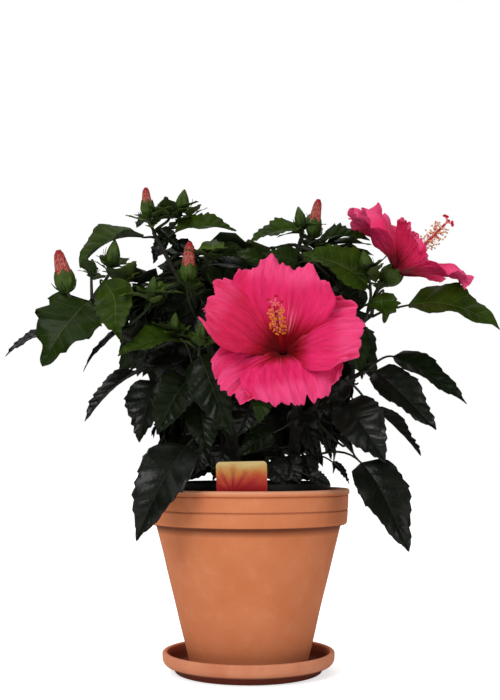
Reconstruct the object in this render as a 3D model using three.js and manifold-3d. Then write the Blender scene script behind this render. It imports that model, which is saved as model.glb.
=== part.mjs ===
// Potted hibiscus shrub: clay pot and saucer, nursery pot, potting soil, stick-in label, stems and
// boughs, the inner masses of foliage, the outer sprays that make the crown's outline, two open
// blooms and five buds. Millimetres, +Z up, the origin under the middle of the saucer's flat foot.

import * as THREE from 'three';
import { mergeVertices } from 'three/addons/utils/BufferGeometryUtils.js';
import Module from 'manifold-3d';

const wasm = await Module();
wasm.setup();

// ---------------------------------------------------------------- driving sizes

const GAP = 0.35; // clearance that each piece keeps from the one it meets
const RING = 30; // sides of everything turned on the wheel or moulded round

// saucer
const SAUCER_RADIUS = 73.1;
const SAUCER_HEIGHT = 18.4;
const SAUCER_WALL = 4.2;
const SAUCER_FOOT_RADIUS = 62;
const SAUCER_FOOT_HEIGHT = 5; // the foot leans out to here, then steps out under the wall
const SAUCER_FLOOR = 6;
const SAUCER_ROUNDING = 1.2; // of the rim's edges

// clay pot: a straight taper under a deep band with a rounded lip
const POT_FOOT_RADIUS = 49.6;
const POT_SHOULDER_RADIUS = 78;
const POT_SHOULDER_HEIGHT = 125;
const POT_BAND_RADIUS = 83.7;
const POT_LIP_RADIUS = 85.9;
const POT_LIP_DEPTH = 4.9;
const POT_LIP_ROUNDING = 1.8;
const POT_TOP = 155.7;
const POT_WALL = 8.6;
const POT_FLOOR = 9;

// nursery pot, wedged in the clay pot
const NURSERY_RIM_RADIUS = 69.5;
const NURSERY_RIM_DEPTH = 8;
const NURSERY_RIM_STEP = 2.4; // how far the rim stands out from the wall
const NURSERY_TOP = 161;
const NURSERY_FOOT = 50;
const NURSERY_WALL = 1.6;
const SOIL_TOP = 150;
const SOIL_SHOULDER = [6, 3]; // how far in from the wall, and how far down, the soil rounds off

// stick-in label, held between the two pots at the front
const LABEL_WIDTH = 40;
const LABEL_TOP = 179.4;
const LABEL_BOTTOM = 104;
const LABEL_THICKNESS = 1;
const LABEL_CORNER = 3.2;
const LABEL_STEM_SHARE = 0.45; // the part pushed into the gap is this share of the card's width
const LABEL_SHOULDERS = [26, 32]; // where the stem starts and ends to widen, above the bottom
const LABEL_MIDDLE = -5;
const LABEL_DEPTH = -72.2; // at the clay rim
const LABEL_TILT = 10; // degrees, top outward like the pots' walls
const LABEL_LEAN = 1.2; // degrees to the side

// how thick the plain solids of blades, petals and stalks are
const BLADE_THICKNESS = 2;
const STALK_WIDTH = 2.4;
const PETAL_THICKNESS = 2.2;
const COLUMN_TUFT = 5; // how far the anthers stand out round the column
const PETAL_CLAW = 5; // how far from the bloom's axis each petal starts

// how finely limbs and masses are divided
const LIMB_STEPS = 5;
const LIMB_SIDES = 6;
const MASS_DETAIL = 2;

const FLARE_SHARE = 0.16; // the share of a stem's length over which its foot flares
const LUMPS = 14; // leafy lumps on each mass
const LUMP_SHARPNESS = 9;

// Stems and boughs: the carrier and how far along it the limb leaves, the points it passes through,
// and its radius at the foot and at the tip.
const LIMBS = {
  stem_left: {
    path: [[-8, 6, SOIL_TOP + GAP], [-11, 6, 175], [-15, 4, 208], [-20, 2, 246]],
    foot: 5.4, tip: 3.8, flare: 4,
  },
  stem_right: {
    path: [[37, -3, SOIL_TOP + GAP], [38, -4, 172], [40, -6, 205], [42, -8, 246]],
    foot: 6.6, tip: 3.8, flare: 3.5,
  },
  bough_left: {
    on: 'stem_left', at: 0.7, path: [[-56, -16, 256], [-100, -33, 280], [-128, -43, 309]],
    foot: 3.2, tip: 1.9,
  },
  bough_left_upper: {
    on: 'stem_left', at: 0.96, path: [[-40, -8, 290], [-62, -10, 338], [-80, -4, 372]],
    foot: 3.1, tip: 1.7,
  },
  bough_centre: {
    on: 'stem_right', at: 0.8, path: [[24, -18, 275], [32, -16, 330], [46, -8, 369]],
    foot: 3, tip: 1.7,
  },
  bough_right: {
    on: 'stem_right', at: 0.97, path: [[72, -18, 276], [102, -27, 300]],
    foot: 2.9, tip: 1.9,
  },
  bough_right_low: {
    on: 'stem_right', at: 0.62, path: [[68, -18, 236], [100, -22, 256]],
    foot: 2.8, tip: 1.8,
  },
  bough_front: {
    on: 'stem_left', at: 0.42, path: [[-28, -30, 224], [-42, -52, 248]],
    foot: 2.8, tip: 1.8,
  },
  bough_back_left: {
    on: 'stem_left', at: 0.84, path: [[-34, 28, 262], [-46, 42, 280]],
    foot: 3, tip: 2.2,
  },
  bough_back_right: {
    on: 'stem_right', at: 0.7, path: [[48, 22, 248], [56, 38, 270]],
    foot: 2.9, tip: 2.2,
  },
};

// Outer sprays: the bough that carries each, how far along it the stalk leaves, the blade's base
// and tip, how far its middle is bent off the line between them, its width, the way its upper
// side faces, how deeply it is folded along its midrib, and how long drawn out its tip is.
const SPRAYS = {
  spray_far_left: {
    on: 'bough_left', at: 0.96, base: [-133, -46, 306], tip: [-194, -66, 262], bend: [14, -4, -3],
    width: 60, face: [0.15, -0.85, 0.5], fold: 0.14, taper: 1.6,
  },
  spray_left_bright: {
    on: 'bough_left', at: 0.84, base: [-116, -60, 323], tip: [-100, -76, 274], bend: [0, -6, 3],
    width: 37, face: [0, -0.9, 0.4], fold: 0.12,
  },
  spray_left_arch: {
    on: 'bough_left_upper', at: 0.95, base: [-88, -14, 366], tip: [-138, -35, 337], bend: [-3, -6, 9],
    width: 34, face: [-0.25, -0.5, 0.85], fold: 0.2,
  },
  spray_left_ledge: {
    on: 'bough_front', at: 0.98, base: [-55, -55, 277], tip: [-103, -72, 262], bend: [0, -3, 4],
    width: 34, face: [-0.1, -0.6, 0.8], fold: 0.12,
  },
  spray_left_dart: {
    on: 'bough_left', at: 0.7, base: [-106, -36, 276], tip: [-134, -46, 251], bend: [-2, -2, 2],
    width: 26, face: [-0.55, -0.55, 0.6], fold: 0.3,
  },
  spray_lower_left_dart: {
    on: 'bough_left', at: 0.4, base: [-90, -30, 252], tip: [-132, -50, 211], bend: [-2, -2, 4],
    width: 28, face: [-0.45, -0.45, 0.75], fold: 0.25,
  },
  spray_lower_left: {
    on: 'bough_front', at: 0.7, base: [-73, -48, 244], tip: [-87, -61, 194], bend: [-2, -5, 1],
    width: 38, face: [-0.35, -0.9, 0.2], fold: 0.14,
  },
  spray_over_rim: {
    on: 'bough_front', at: 0.3, base: [-48, -70, 192], tip: [-87, -84, 117], bend: [-3, -9, 2],
    width: 46, face: [-0.3, -0.9, 0.25], fold: 0.12,
  },
  spray_front_left: {
    on: 'bough_front', at: 1, base: [-37, -84, 262], tip: [-11, -97, 198], bend: [-2, -5, 1],
    width: 38, face: [-0.35, -0.9, 0.25], fold: 0.16,
  },
  spray_front_low: {
    on: 'bough_front', at: 0.55, base: [-38, -56, 228], tip: [-33, -66, 183], bend: [0, -4, 0],
    width: 30, face: [0.1, -1, 0.15], fold: 0.12,
  },
  spray_front_mid: {
    on: 'bough_front', at: 0.85, base: [-47, -60, 246], tip: [-72, -72, 200], bend: [-1, -5, 1],
    width: 36, face: [-0.15, -0.95, 0.25], fold: 0.12,
  },
  spray_top_left: {
    on: 'bough_left_upper', at: 0.9, base: [-62, -10, 371], tip: [-10, -12, 372], bend: [0, -3, 5],
    width: 28, face: [0, -0.6, 0.8], fold: 0.16,
  },
  spray_top_centre: {
    on: 'bough_centre', at: 0.97, base: [42, -14, 373], tip: [0, -18, 361], bend: [-2, -3, 3],
    width: 25, face: [-0.2, -0.65, 0.7], fold: 0.12,
  },
  spray_top_right: {
    on: 'bough_centre', at: 0.9, base: [62, -10, 366], tip: [102, -12, 364], bend: [0, -2, 3],
    width: 25, face: [0.1, -0.6, 0.8], fold: 0.18,
  },
  spray_right_bright: {
    on: 'bough_right', at: 0.93, base: [96, -50, 321], tip: [43, -60, 345], bend: [-1, -5, 5],
    width: 44, face: [-0.1, -0.75, 0.65], fold: 0.1,
  },
  spray_right_small: {
    on: 'bough_right', at: 0.88, base: [108, -60, 314], tip: [107, -70, 288], bend: [0, -3, 1],
    width: 28, face: [0, -0.95, 0.3], fold: 0.1,
  },
  spray_far_right: {
    on: 'bough_right', at: 0.98, base: [130, -40, 306], tip: [201, -60, 284], bend: [1, -7, 9],
    width: 53, face: [0.05, -0.6, 0.8], fold: 0.1,
  },
  spray_right_upper: {
    on: 'bough_right_low', at: 0.98, base: [120, -20, 266], tip: [180, -30, 226], bend: [1, -3, 3],
    width: 32, face: [0.15, -0.65, 0.7], fold: 0.14,
  },
  spray_right_middle: {
    on: 'bough_right_low', at: 0.85, base: [102, -42, 252], tip: [150, -60, 204], bend: [0, -3, 2],
    width: 38, face: [0.15, -0.8, 0.55], fold: 0.12,
  },
  spray_right_narrow: {
    on: 'bough_right_low', at: 0.75, base: [106, 0, 224], tip: [147, 4, 183], bend: [2, 1, 2],
    width: 26, face: [0.6, 0.25, 0.7], fold: 0.2,
  },
  spray_right_broad: {
    on: 'bough_right_low', at: 0.45, base: [77, -52, 226], tip: [108, -72, 178], bend: [0, -5, 2],
    width: 42, face: [-0.1, -0.9, 0.35], fold: 0.12,
  },
  spray_right_low: {
    on: 'stem_right', at: 0.3, base: [90, -58, 178], tip: [126, -76, 108], bend: [2, -6, 2],
    width: 44, face: [0.25, -0.9, 0.3], fold: 0.12,
  },
  spray_back_left: {
    on: 'bough_back_left', at: 1, base: [-76, 104, 306], tip: [-124, 126, 262], bend: [-3, 6, 5],
    width: 52, face: [-0.4, 0.65, 0.6], fold: 0.12,
  },
  spray_back_right: {
    on: 'bough_back_right', at: 1, base: [78, 102, 300], tip: [122, 124, 256], bend: [3, 6, 5],
    width: 52, face: [0.4, 0.65, 0.6], fold: 0.12,
  },
};

// Buds: carrier, base and tip of the spindle, its fattest radius.
const BUDS = {
  bud_far_left: {
    on: 'bough_left', at: 1, base: [-146, -50, 315], tip: [-154, -50, 349],
    radius: 9.5,
  },
  bud_top_left: {
    on: 'bough_left_upper', at: 1, base: [-85, 0, 385], tip: [-88, 0, 411],
    radius: 6.6,
  },
  bud_green_top: {
    on: 'bough_left_upper', at: 0.97, base: [-58, 6, 390], tip: [-54, 6, 411],
    radius: 6.2,
  },
  bud_inner: {
    on: 'bough_left_upper', at: 0.3, base: [-50, -42, 321], tip: [-47, -44, 357],
    radius: 8.2,
  },
  bud_top_right: {
    on: 'bough_centre', at: 1, base: [58, -5, 368], tip: [60, -5, 400],
    radius: 7.4,
  },
};

// Blooms: carrier, the throat and the end of the stamen column, and for each petal the point that
// its tip reaches, its width and the way its inner side faces.
const BLOOMS = {
  bloom_front: {
    on: 'bough_centre',
    at: 0.32,
    throat: [27, -70, 267],
    columnEnd: [19, -131, 298],
    calyx: 26,
    petals: [
      { tip: [31, -92, 335], width: 66, face: [-0.05, -0.95, 0.2] },
      { tip: [80, -93, 296], width: 70, face: [-0.25, -0.95, 0.1] },
      { tip: [39, -103, 226], width: 60, face: [0, -0.85, 0.5] },
      { tip: [-24, -98, 247], width: 50, face: [0.2, -0.95, 0.2] },
      { tip: [-32, -95, 307], width: 68, face: [0.25, -0.95, 0.1] },
    ],
  },
  bloom_side: {
    on: 'bough_right',
    at: 1,
    throat: [124, -35, 338],
    columnEnd: [164, -42, 376],
    calyx: 24,
    petals: [
      { tip: [92, -34, 390], width: 42, face: [0.7, -0.4, 0.5] },
      { tip: [137, -58, 366], width: 30, face: [0.3, -0.8, 0.4] },
      { tip: [180, -52, 326], width: 34, face: [0.1, -0.4, 0.9] },
      { tip: [118, 4, 388], width: 34, face: [0.4, -0.7, 0.3] },
      { tip: [166, 0, 340], width: 34, face: [-0.2, -0.6, 0.7] },
    ],
  },
};

// Inner masses of foliage: centre, half sizes, turn about Z in degrees and seed of the lumps.
const MASSES = {
  mass_front: { centre: [14, -37, 300], half: [34, 22, 30], turn: 0, seed: 2 },
  mass_centre: { centre: [4, 22, 292], half: [38, 30, 34], turn: 10, seed: 3 },
  mass_left: { centre: [-94, -12, 312], half: [34, 30, 25], turn: -15, seed: 5 },
  mass_lower_left: { centre: [-62, 2, 222], half: [32, 32, 32], turn: 20, seed: 8 },
  mass_top_left: { centre: [-40, 26, 350], half: [36, 30, 24], turn: 0, seed: 13 },
  mass_top_centre: { centre: [18, 32, 352], half: [28, 34, 24], turn: 20, seed: 21 },
  mass_top_right: { centre: [74, 10, 340], half: [30, 32, 25], turn: -20, seed: 34 },
  mass_right: { centre: [90, 16, 270], half: [27, 28, 28], turn: 5, seed: 55 },
  mass_lower_right: { centre: [70, 2, 201], half: [31, 32, 23], turn: 0, seed: 89 },
  mass_back_left: { centre: [-58, 76, 292], half: [48, 38, 50], turn: -25, seed: 144 },
  mass_back_right: { centre: [60, 74, 288], half: [46, 38, 52], turn: 25, seed: 233 },
  mass_back_low: { centre: [2, 54, 214], half: [54, 48, 36], turn: 0, seed: 377 },
};

const COLOURS = {
  clay: { color: '#b5623c', roughness: 0.85 },
  plastic: { color: '#1d1e1d', roughness: 0.5 },
  soil: { color: '#2e2118', roughness: 0.95 },
  label: { color: '#e8c98a', roughness: 0.4 },
  bark: { color: '#5a5040', roughness: 0.8 },
  leaf: { color: '#3c5a26', roughness: 0.4 },
  petal: { color: '#e8326e', roughness: 0.55 },
  column: { color: '#f29aa8', roughness: 0.6 },
  bud: { color: '#7a9a3c', roughness: 0.5 },
};

// ---------------------------------------------------------------- shape helpers

const vector = (point) => new THREE.Vector3(...point);
const lerp = THREE.MathUtils.lerp;
const WORLD_UP = new THREE.Vector3(0, 0, 1);

// A repeatable row of numbers from 0 to 1.
function randomFrom(seed) {
  let state = seed * 2654435761;
  return () => {
    state = (Math.imul(state, 1664525) + 1013904223) >>> 0;
    return state / 4294967296;
  };
}

function closed(geometry) {
  geometry.deleteAttribute('normal');
  geometry.deleteAttribute('uv');
  return mergeVertices(geometry, 1e-4);
}

function solidOf(geometry) {
  const shape = closed(geometry);
  const mesh = new wasm.Mesh({
    numProp: 3,
    vertProperties: new Float32Array(shape.attributes.position.array),
    triVerts: new Uint32Array(shape.index.array),
  });
  return new wasm.Manifold(mesh);
}

function geometryOf(solid) {
  const mesh = solid.getMesh();
  const geometry = new THREE.BufferGeometry();
  geometry.setAttribute('position', new THREE.BufferAttribute(mesh.vertProperties, 3));
  geometry.setIndex(new THREE.BufferAttribute(mesh.triVerts, 1));
  geometry.computeVertexNormals();
  return geometry;
}

// Moves every corner of a geometry to where the rule puts it.
function reshape(geometry, rule) {
  const corners = geometry.attributes.position;
  const corner = new THREE.Vector3();
  for (let i = 0; i < corners.count; i += 1) {
    corner.fromBufferAttribute(corners, i);
    corners.setXYZ(i, ...rule(corner).toArray());
  }
  return geometry;
}

// A shape turned about +Z from its outline of [radius, height] points.
function turned(outline) {
  const points = outline.map(([radius, height]) => new THREE.Vector2(radius, height));
  return new THREE.LatheGeometry(points, RING).rotateX(Math.PI / 2);
}

// A round limb along a curve, with its radius given by how far along it is.
function limb(curve, radiusAt, steps, sides, grow) {
  const frames = curve.computeFrenetFrames(steps);
  const shape = new THREE.CylinderGeometry(1, 1, 1, sides, steps);
  return reshape(shape, (corner) => {
    const along = corner.y + 0.5;
    const step = Math.round(along * steps);
    const reach = radiusAt(along) + grow;
    const end = grow * (Number(step === steps) - Number(step === 0));
    return curve.getPointAt(along)
      .addScaledVector(frames.normals[step], corner.x * reach)
      .addScaledVector(frames.binormals[step], -corner.z * reach)
      .addScaledVector(frames.tangents[step], end);
  });
}

// How wide an egg-shaped blade is at a place along it, as a share of its full width.
function bladeOutline(taper) {
  const rise = 0.42;
  const widest = rise / (rise + taper);
  const shape = (along) => along ** rise * (1 - along) ** taper;
  return (along) => shape(along) / shape(widest);
}

// A petal narrows to its claw and is widest near its rounded end.
function petalOutline(along) {
  return Math.sin(Math.PI * (0.02 + 0.84 * along ** 1.25)) ** 0.8;
}

// A thin blade along a curve: a narrow stalk first, then the leaf or petal itself.
function blade(curve, { stalkShare, stalkRows, rows, width, outline, face, fold, thickness, grow }) {
  const total = stalkRows + rows;
  const shape = new THREE.BoxGeometry(1, 1, 1, 2, total, 1);
  const facing = vector(face).normalize();
  return reshape(shape, (corner) => {
    const row = Math.round((corner.y + 0.5) * total);
    const inBlade = Math.max(0, (row - stalkRows) / rows);
    const along = row <= stalkRows && stalkRows > 0
      ? (stalkShare * row) / stalkRows
      : lerp(stalkShare, 1, inBlade);
    const heading = curve.getTangent(along);
    const side = new THREE.Vector3().crossVectors(heading, facing).normalize();
    const upper = new THREE.Vector3().crossVectors(side, heading).normalize();
    const span = Math.max(STALK_WIDTH, width * outline(inBlade) * Number(row > stalkRows));
    const across = corner.x * (span + 2 * grow);
    const lift = Math.abs(across) * fold * 2 + corner.z * (thickness + 2 * grow);
    const end = grow * (Number(row === total) - Number(row === 0));
    return curve.getPoint(along)
      .addScaledVector(side, across)
      .addScaledVector(upper, lift)
      .addScaledVector(heading, end);
  });
}

// ---------------------------------------------------------------- placing the pieces

const plant = new THREE.Group();
const placed = [];

function overlaps(one, other) {
  return one.min.every((low, axis) => low < other.max[axis] && other.min[axis] < one.max[axis]);
}

// Adds a piece, cut back from everything placed before it by the clearance, and keeps its main part.
function place(name, colour, build) {
  let solid = build(0);
  const box = solid.boundingBox();
  for (const earlier of placed) {
    if (overlaps(box, earlier.grown.boundingBox())) {
      solid = solid.subtract(earlier.grown);
    }
  }
  const parts = solid.decompose();
  parts.sort((one, other) => other.volume() - one.volume());
  const mesh = new THREE.Mesh(geometryOf(parts[0]), new THREE.MeshStandardMaterial(COLOURS[colour]));
  mesh.name = name;
  plant.add(mesh);
  placed.push({ name, grown: build(GAP) });
}

// ---------------------------------------------------------------- pots, soil and label

function saucer(grow) {
  const top = SAUCER_HEIGHT + grow;
  const outer = SAUCER_RADIUS + grow;
  const inner = SAUCER_RADIUS - SAUCER_WALL - grow;
  const foot = SAUCER_FOOT_RADIUS + grow;
  const floor = SAUCER_FLOOR + grow;
  const edge = SAUCER_ROUNDING;
  return solidOf(turned([
    [0, -grow],
    [foot, -grow],
    [foot + 2 * edge, SAUCER_FOOT_HEIGHT],
    [outer - 2 * edge, SAUCER_FOOT_HEIGHT + 2 * edge],
    [outer, SAUCER_FOOT_HEIGHT + 4.5 * edge],
    [outer, top - edge],
    [outer - edge, top],
    [inner + edge, top],
    [inner, top - edge],
    [inner - edge, floor],
    [0, floor],
  ]));
}

// Radius of the clay pot's outside at a height under its band.
function potTaper(height) {
  const foot = SAUCER_FLOOR + GAP;
  return lerp(POT_FOOT_RADIUS, POT_SHOULDER_RADIUS, (height - foot) / (POT_SHOULDER_HEIGHT - foot));
}

function clayPot(grow) {
  const foot = SAUCER_FLOOR + GAP - grow;
  const floor = SAUCER_FLOOR + POT_FLOOR + grow;
  const lipFoot = POT_TOP - POT_LIP_DEPTH;
  const inner = (height) => potTaper(height) - POT_WALL - grow;
  const edge = POT_LIP_ROUNDING;
  return solidOf(turned([
    [0, foot],
    [POT_FOOT_RADIUS + grow, foot],
    [POT_SHOULDER_RADIUS + grow, POT_SHOULDER_HEIGHT],
    [POT_BAND_RADIUS + grow, POT_SHOULDER_HEIGHT],
    [POT_LIP_RADIUS - edge / 2 + grow, lipFoot],
    [POT_LIP_RADIUS + grow, lipFoot + edge / 2],
    [POT_LIP_RADIUS + grow, POT_TOP - edge],
    [POT_LIP_RADIUS - edge, POT_TOP + grow],
    [inner(POT_TOP) + edge, POT_TOP + grow],
    [inner(POT_TOP), POT_TOP - edge],
    [inner(floor), floor],
    [0, floor],
  ]));
}

function nurseryPot(grow) {
  const footRadius = potTaper(NURSERY_FOOT) - POT_WALL - GAP;
  const wallRadius = NURSERY_RIM_RADIUS - NURSERY_RIM_STEP;
  const rimFoot = NURSERY_TOP - NURSERY_RIM_DEPTH;
  const wall = NURSERY_WALL + grow;
  return solidOf(turned([
    [0, NURSERY_FOOT - grow],
    [footRadius + grow, NURSERY_FOOT - grow],
    [wallRadius + grow, rimFoot],
    [NURSERY_RIM_RADIUS + grow, rimFoot],
    [NURSERY_RIM_RADIUS + grow, NURSERY_TOP + grow],
    [wallRadius - wall, NURSERY_TOP + grow],
    [footRadius - wall, NURSERY_FOOT + wall],
    [0, NURSERY_FOOT + wall],
  ]));
}

function pottingSoil(grow) {
  const foot = NURSERY_FOOT + NURSERY_WALL + 1.3 * GAP;
  const share = (SOIL_TOP - NURSERY_FOOT) / (NURSERY_TOP - NURSERY_FOOT);
  const clear = NURSERY_WALL + 4 * GAP;
  const footRadius = potTaper(NURSERY_FOOT) - POT_WALL - clear;
  const topRadius = lerp(footRadius, NURSERY_RIM_RADIUS - NURSERY_RIM_STEP - clear, share);
  const [inset, drop] = SOIL_SHOULDER;
  return solidOf(turned([
    [0, foot - grow],
    [footRadius + grow, foot - grow],
    [topRadius + grow, SOIL_TOP - drop],
    [topRadius - inset, SOIL_TOP + grow],
    [0, SOIL_TOP + grow],
  ]));
}

function plantLabel(grow) {
  const half = LABEL_WIDTH / 2 + grow;
  const top = LABEL_TOP - LABEL_BOTTOM + grow;
  const stem = half * LABEL_STEM_SHARE;
  const [stemTop, shoulder] = LABEL_SHOULDERS;
  const round = LABEL_CORNER;
  const outline = new THREE.Shape();
  outline.moveTo(-stem, -grow);
  outline.lineTo(stem, -grow);
  outline.lineTo(stem, stemTop);
  outline.lineTo(half, shoulder);
  outline.lineTo(half, top - round);
  outline.absarc(half - round, top - round, round, 0, Math.PI / 2);
  outline.absarc(round - half, top - round, round, Math.PI / 2, Math.PI);
  outline.lineTo(-half, shoulder);
  outline.lineTo(-stem, stemTop);
  outline.closePath();
  const depth = LABEL_THICKNESS + 2 * grow;
  const card = new THREE.ExtrudeGeometry(outline, { depth, bevelEnabled: false, curveSegments: 3 });
  card.translate(0, 0, -depth / 2);
  card.rotateX(Math.PI / 2);
  card.translate(0, 0, LABEL_BOTTOM - POT_TOP);
  card.rotateY(-THREE.MathUtils.degToRad(LABEL_LEAN));
  card.rotateX(THREE.MathUtils.degToRad(LABEL_TILT));
  card.translate(LABEL_MIDDLE, LABEL_DEPTH, POT_TOP);
  return solidOf(card);
}

// ---------------------------------------------------------------- stems and boughs

const curves = {};

// The point on a carrier where something leaves it.
function leaves(row) {
  return curves[row.on].getPointAt(row.at);
}

function addLimb(name, row) {
  const points = row.path.map(vector);
  if (row.on) {
    points.unshift(leaves(row));
  }
  const curve = new THREE.CatmullRomCurve3(points);
  const flare = (along) => (row.flare ?? 0) * Math.max(0, 1 - along / FLARE_SHARE) ** 2;
  const radiusAt = (along) => lerp(row.foot, row.tip, along) + flare(along);
  curves[name] = curve;
  place(name, 'bark', (grow) => solidOf(limb(curve, radiusAt, LIMB_STEPS, LIMB_SIDES, grow)));
}

// ---------------------------------------------------------------- blooms and buds

function columnCurve(row) {
  const throat = vector(row.throat);
  const end = vector(row.columnEnd);
  const foot = throat.clone().lerp(end, -0.08);
  const middle = throat.clone().lerp(end, 0.5).addScaledVector(WORLD_UP, -2);
  return new THREE.CatmullRomCurve3([foot, middle, end]);
}

// The stamen column: a slim rod that thickens where the anthers and stigmas stand round it.
function addColumn(name, row) {
  const curve = columnCurve(row);
  const tuft = (along) => Math.max(0, Math.sin((along - 0.5) * 2 * Math.PI)) ** 0.7;
  const radiusAt = (along) => lerp(2.6, 1.7, along) + COLUMN_TUFT * tuft(along);
  place(name, 'column', (grow) => solidOf(limb(curve, radiusAt, 6, LIMB_SIDES, grow)));
}

// Petals, calyx and flower stalk as one solid.
function addBloom(name, row) {
  const throat = vector(row.throat);
  const axis = vector(row.columnEnd).sub(throat).normalize();
  const heel = throat.clone().addScaledVector(axis, -row.calyx);
  const stalk = new THREE.CatmullRomCurve3([leaves(row), heel, throat.clone().addScaledVector(axis, -3)]);
  const calyxRadius = (along) => 1.6 + 6.4 * THREE.MathUtils.smoothstep(along, 0.45, 0.85);
  const build = (grow) => {
    const pieces = [solidOf(limb(stalk, calyxRadius, 4, LIMB_SIDES, grow))];
    for (const petal of row.petals) {
      const tip = vector(petal.tip);
      const facing = vector(petal.face).normalize();
      const outward = tip.clone().sub(throat).projectOnPlane(axis).normalize();
      const start = throat.clone().addScaledVector(axis, -8).addScaledVector(outward, PETAL_CLAW);
      const bulge = start.clone().lerp(tip, 0.55).addScaledVector(facing, -5);
      const curve = new THREE.CatmullRomCurve3([start, bulge, tip]);
      pieces.push(solidOf(blade(curve, {
        stalkShare: 0,
        stalkRows: 0,
        rows: 4,
        width: petal.width,
        outline: petalOutline,
        face: petal.face,
        fold: 0.08,
        thickness: PETAL_THICKNESS,
        grow,
      })));
    }
    return pieces.reduce((whole, piece) => whole.add(piece));
  };
  place(name, 'petal', build);
}

function addBud(name, row) {
  const base = vector(row.base);
  const tip = vector(row.tip);
  const curve = new THREE.CatmullRomCurve3([leaves(row), base, base.clone().lerp(tip, 0.5), tip]);
  const share = base.distanceTo(leaves(row)) / (base.distanceTo(leaves(row)) + base.distanceTo(tip));
  const radiusAt = (along) => {
    const inBud = Math.max(0, (along - share) / (1 - share));
    return Math.max(1.2 - 0.5 * inBud, row.radius * Math.sin(Math.PI * inBud ** 0.62) ** 0.8);
  };
  place(name, 'bud', (grow) => solidOf(limb(curve, radiusAt, 7, LIMB_SIDES, grow)));
}

// ---------------------------------------------------------------- foliage

function addSpray(name, row) {
  const start = leaves(row);
  const base = vector(row.base);
  const tip = vector(row.tip);
  const middle = base.clone().lerp(tip, 0.5).add(vector(row.bend));
  const curve = new THREE.CatmullRomCurve3([start, base, middle, tip]);
  place(name, 'leaf', (grow) => solidOf(blade(curve, {
    stalkShare: 1 / 3,
    stalkRows: 1,
    rows: 5,
    width: row.width,
    outline: bladeOutline(row.taper ?? 0.8),
    face: row.face,
    fold: row.fold,
    thickness: BLADE_THICKNESS,
    grow,
  })));
}

// A lumpy closed mass: a ball drawn out to the half sizes, with blunt lumps where leaves stand out.
function addMass(name, row) {
  const next = randomFrom(row.seed);
  const lumps = Array.from({ length: LUMPS }, () => {
    const height = lerp(-0.9, 0.9, next());
    const turn = 2 * Math.PI * next();
    const flat = Math.sqrt(1 - height * height);
    const heading = new THREE.Vector3(flat * Math.cos(turn), flat * Math.sin(turn), height);
    return { heading, size: lerp(0.08, 0.3, next()) };
  });
  const turn = THREE.MathUtils.degToRad(row.turn);
  place(name, 'leaf', (grow) => solidOf(reshape(new THREE.IcosahedronGeometry(1, MASS_DETAIL), (corner) => {
    const heading = corner.clone().normalize();
    const bump = lumps.reduce((sum, lump) => {
      return sum + lump.size * Math.max(0, heading.dot(lump.heading)) ** LUMP_SHARPNESS;
    }, 0);
    const reach = heading.clone().multiplyScalar(0.88 + bump).multiply(vector(row.half));
    return reach.addScaledVector(heading, grow * 1.3).applyAxisAngle(WORLD_UP, turn).add(vector(row.centre));
  })));
}

// ---------------------------------------------------------------- the whole plant

place('saucer', 'clay', saucer);
place('terracotta_pot', 'clay', clayPot);
place('nursery_pot', 'plastic', nurseryPot);
place('soil', 'soil', pottingSoil);
place('plant_label', 'label', plantLabel);
for (const [name, row] of Object.entries(LIMBS)) {
  addLimb(name, row);
}
for (const [name, row] of Object.entries(BLOOMS)) {
  addBloom(name, row);
  addColumn(`${name}_column`, row);
}
for (const [name, row] of Object.entries(BUDS)) {
  addBud(name, row);
}
for (const [name, row] of Object.entries(SPRAYS)) {
  addSpray(name, row);
}
for (const [name, row] of Object.entries(MASSES)) {
  addMass(name, row);
}

export default plant;
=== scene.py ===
import heapq
import math
import random

import bmesh
import bpy
import numpy as np
from mathutils import Matrix, Vector, noise
from mathutils.bvhtree import BVHTree


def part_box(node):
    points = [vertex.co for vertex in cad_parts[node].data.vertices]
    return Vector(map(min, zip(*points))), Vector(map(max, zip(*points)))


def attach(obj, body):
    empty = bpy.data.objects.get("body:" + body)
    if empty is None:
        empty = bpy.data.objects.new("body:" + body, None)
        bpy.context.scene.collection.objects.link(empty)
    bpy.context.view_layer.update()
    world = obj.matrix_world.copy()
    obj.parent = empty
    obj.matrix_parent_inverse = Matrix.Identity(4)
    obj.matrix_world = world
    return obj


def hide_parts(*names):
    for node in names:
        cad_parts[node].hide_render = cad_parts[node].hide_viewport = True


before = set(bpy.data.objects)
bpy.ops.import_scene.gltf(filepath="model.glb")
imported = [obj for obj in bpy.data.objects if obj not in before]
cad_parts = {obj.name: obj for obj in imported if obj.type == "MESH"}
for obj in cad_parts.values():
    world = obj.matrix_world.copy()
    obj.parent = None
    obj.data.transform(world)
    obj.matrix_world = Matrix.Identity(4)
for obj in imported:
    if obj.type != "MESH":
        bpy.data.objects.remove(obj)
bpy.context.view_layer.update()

# A potted hibiscus shrub. Shapes are worked out in millimetres and written to meshes in metres.
MM = 0.001
GOLDEN_ANGLE = math.radians(137.5)
UP = np.array([0.0, 0.0, 1.0])
BODY = "root"

STEMS = ["stem_left", "stem_right"]
BOUGHS, SPRAYS, MASSES, BUDS = (
    sorted(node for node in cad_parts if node.startswith(kind))
    for kind in ("bough_", "spray_", "mass_", "bud_")
)


# ---- small tools


def srgb(code):
    """A hex colour as linear red, green, blue and alpha."""
    parts = [int(code[i : i + 2], 16) / 255 for i in (1, 3, 5)]
    linear = [c / 12.92 if c <= 0.04045 else ((c + 0.055) / 1.055) ** 2.4 for c in parts]
    return (*linear, 1.0)


def unit(vector):
    return vector / max(np.linalg.norm(vector), 1e-9)


def bezier(a, b, c, d, share):
    """The point at a share of the way along a Bezier curve from a to d."""
    rest = 1 - share
    return rest**3 * a + 3 * rest**2 * share * b + 3 * rest * share**2 * c + share**3 * d


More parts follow.
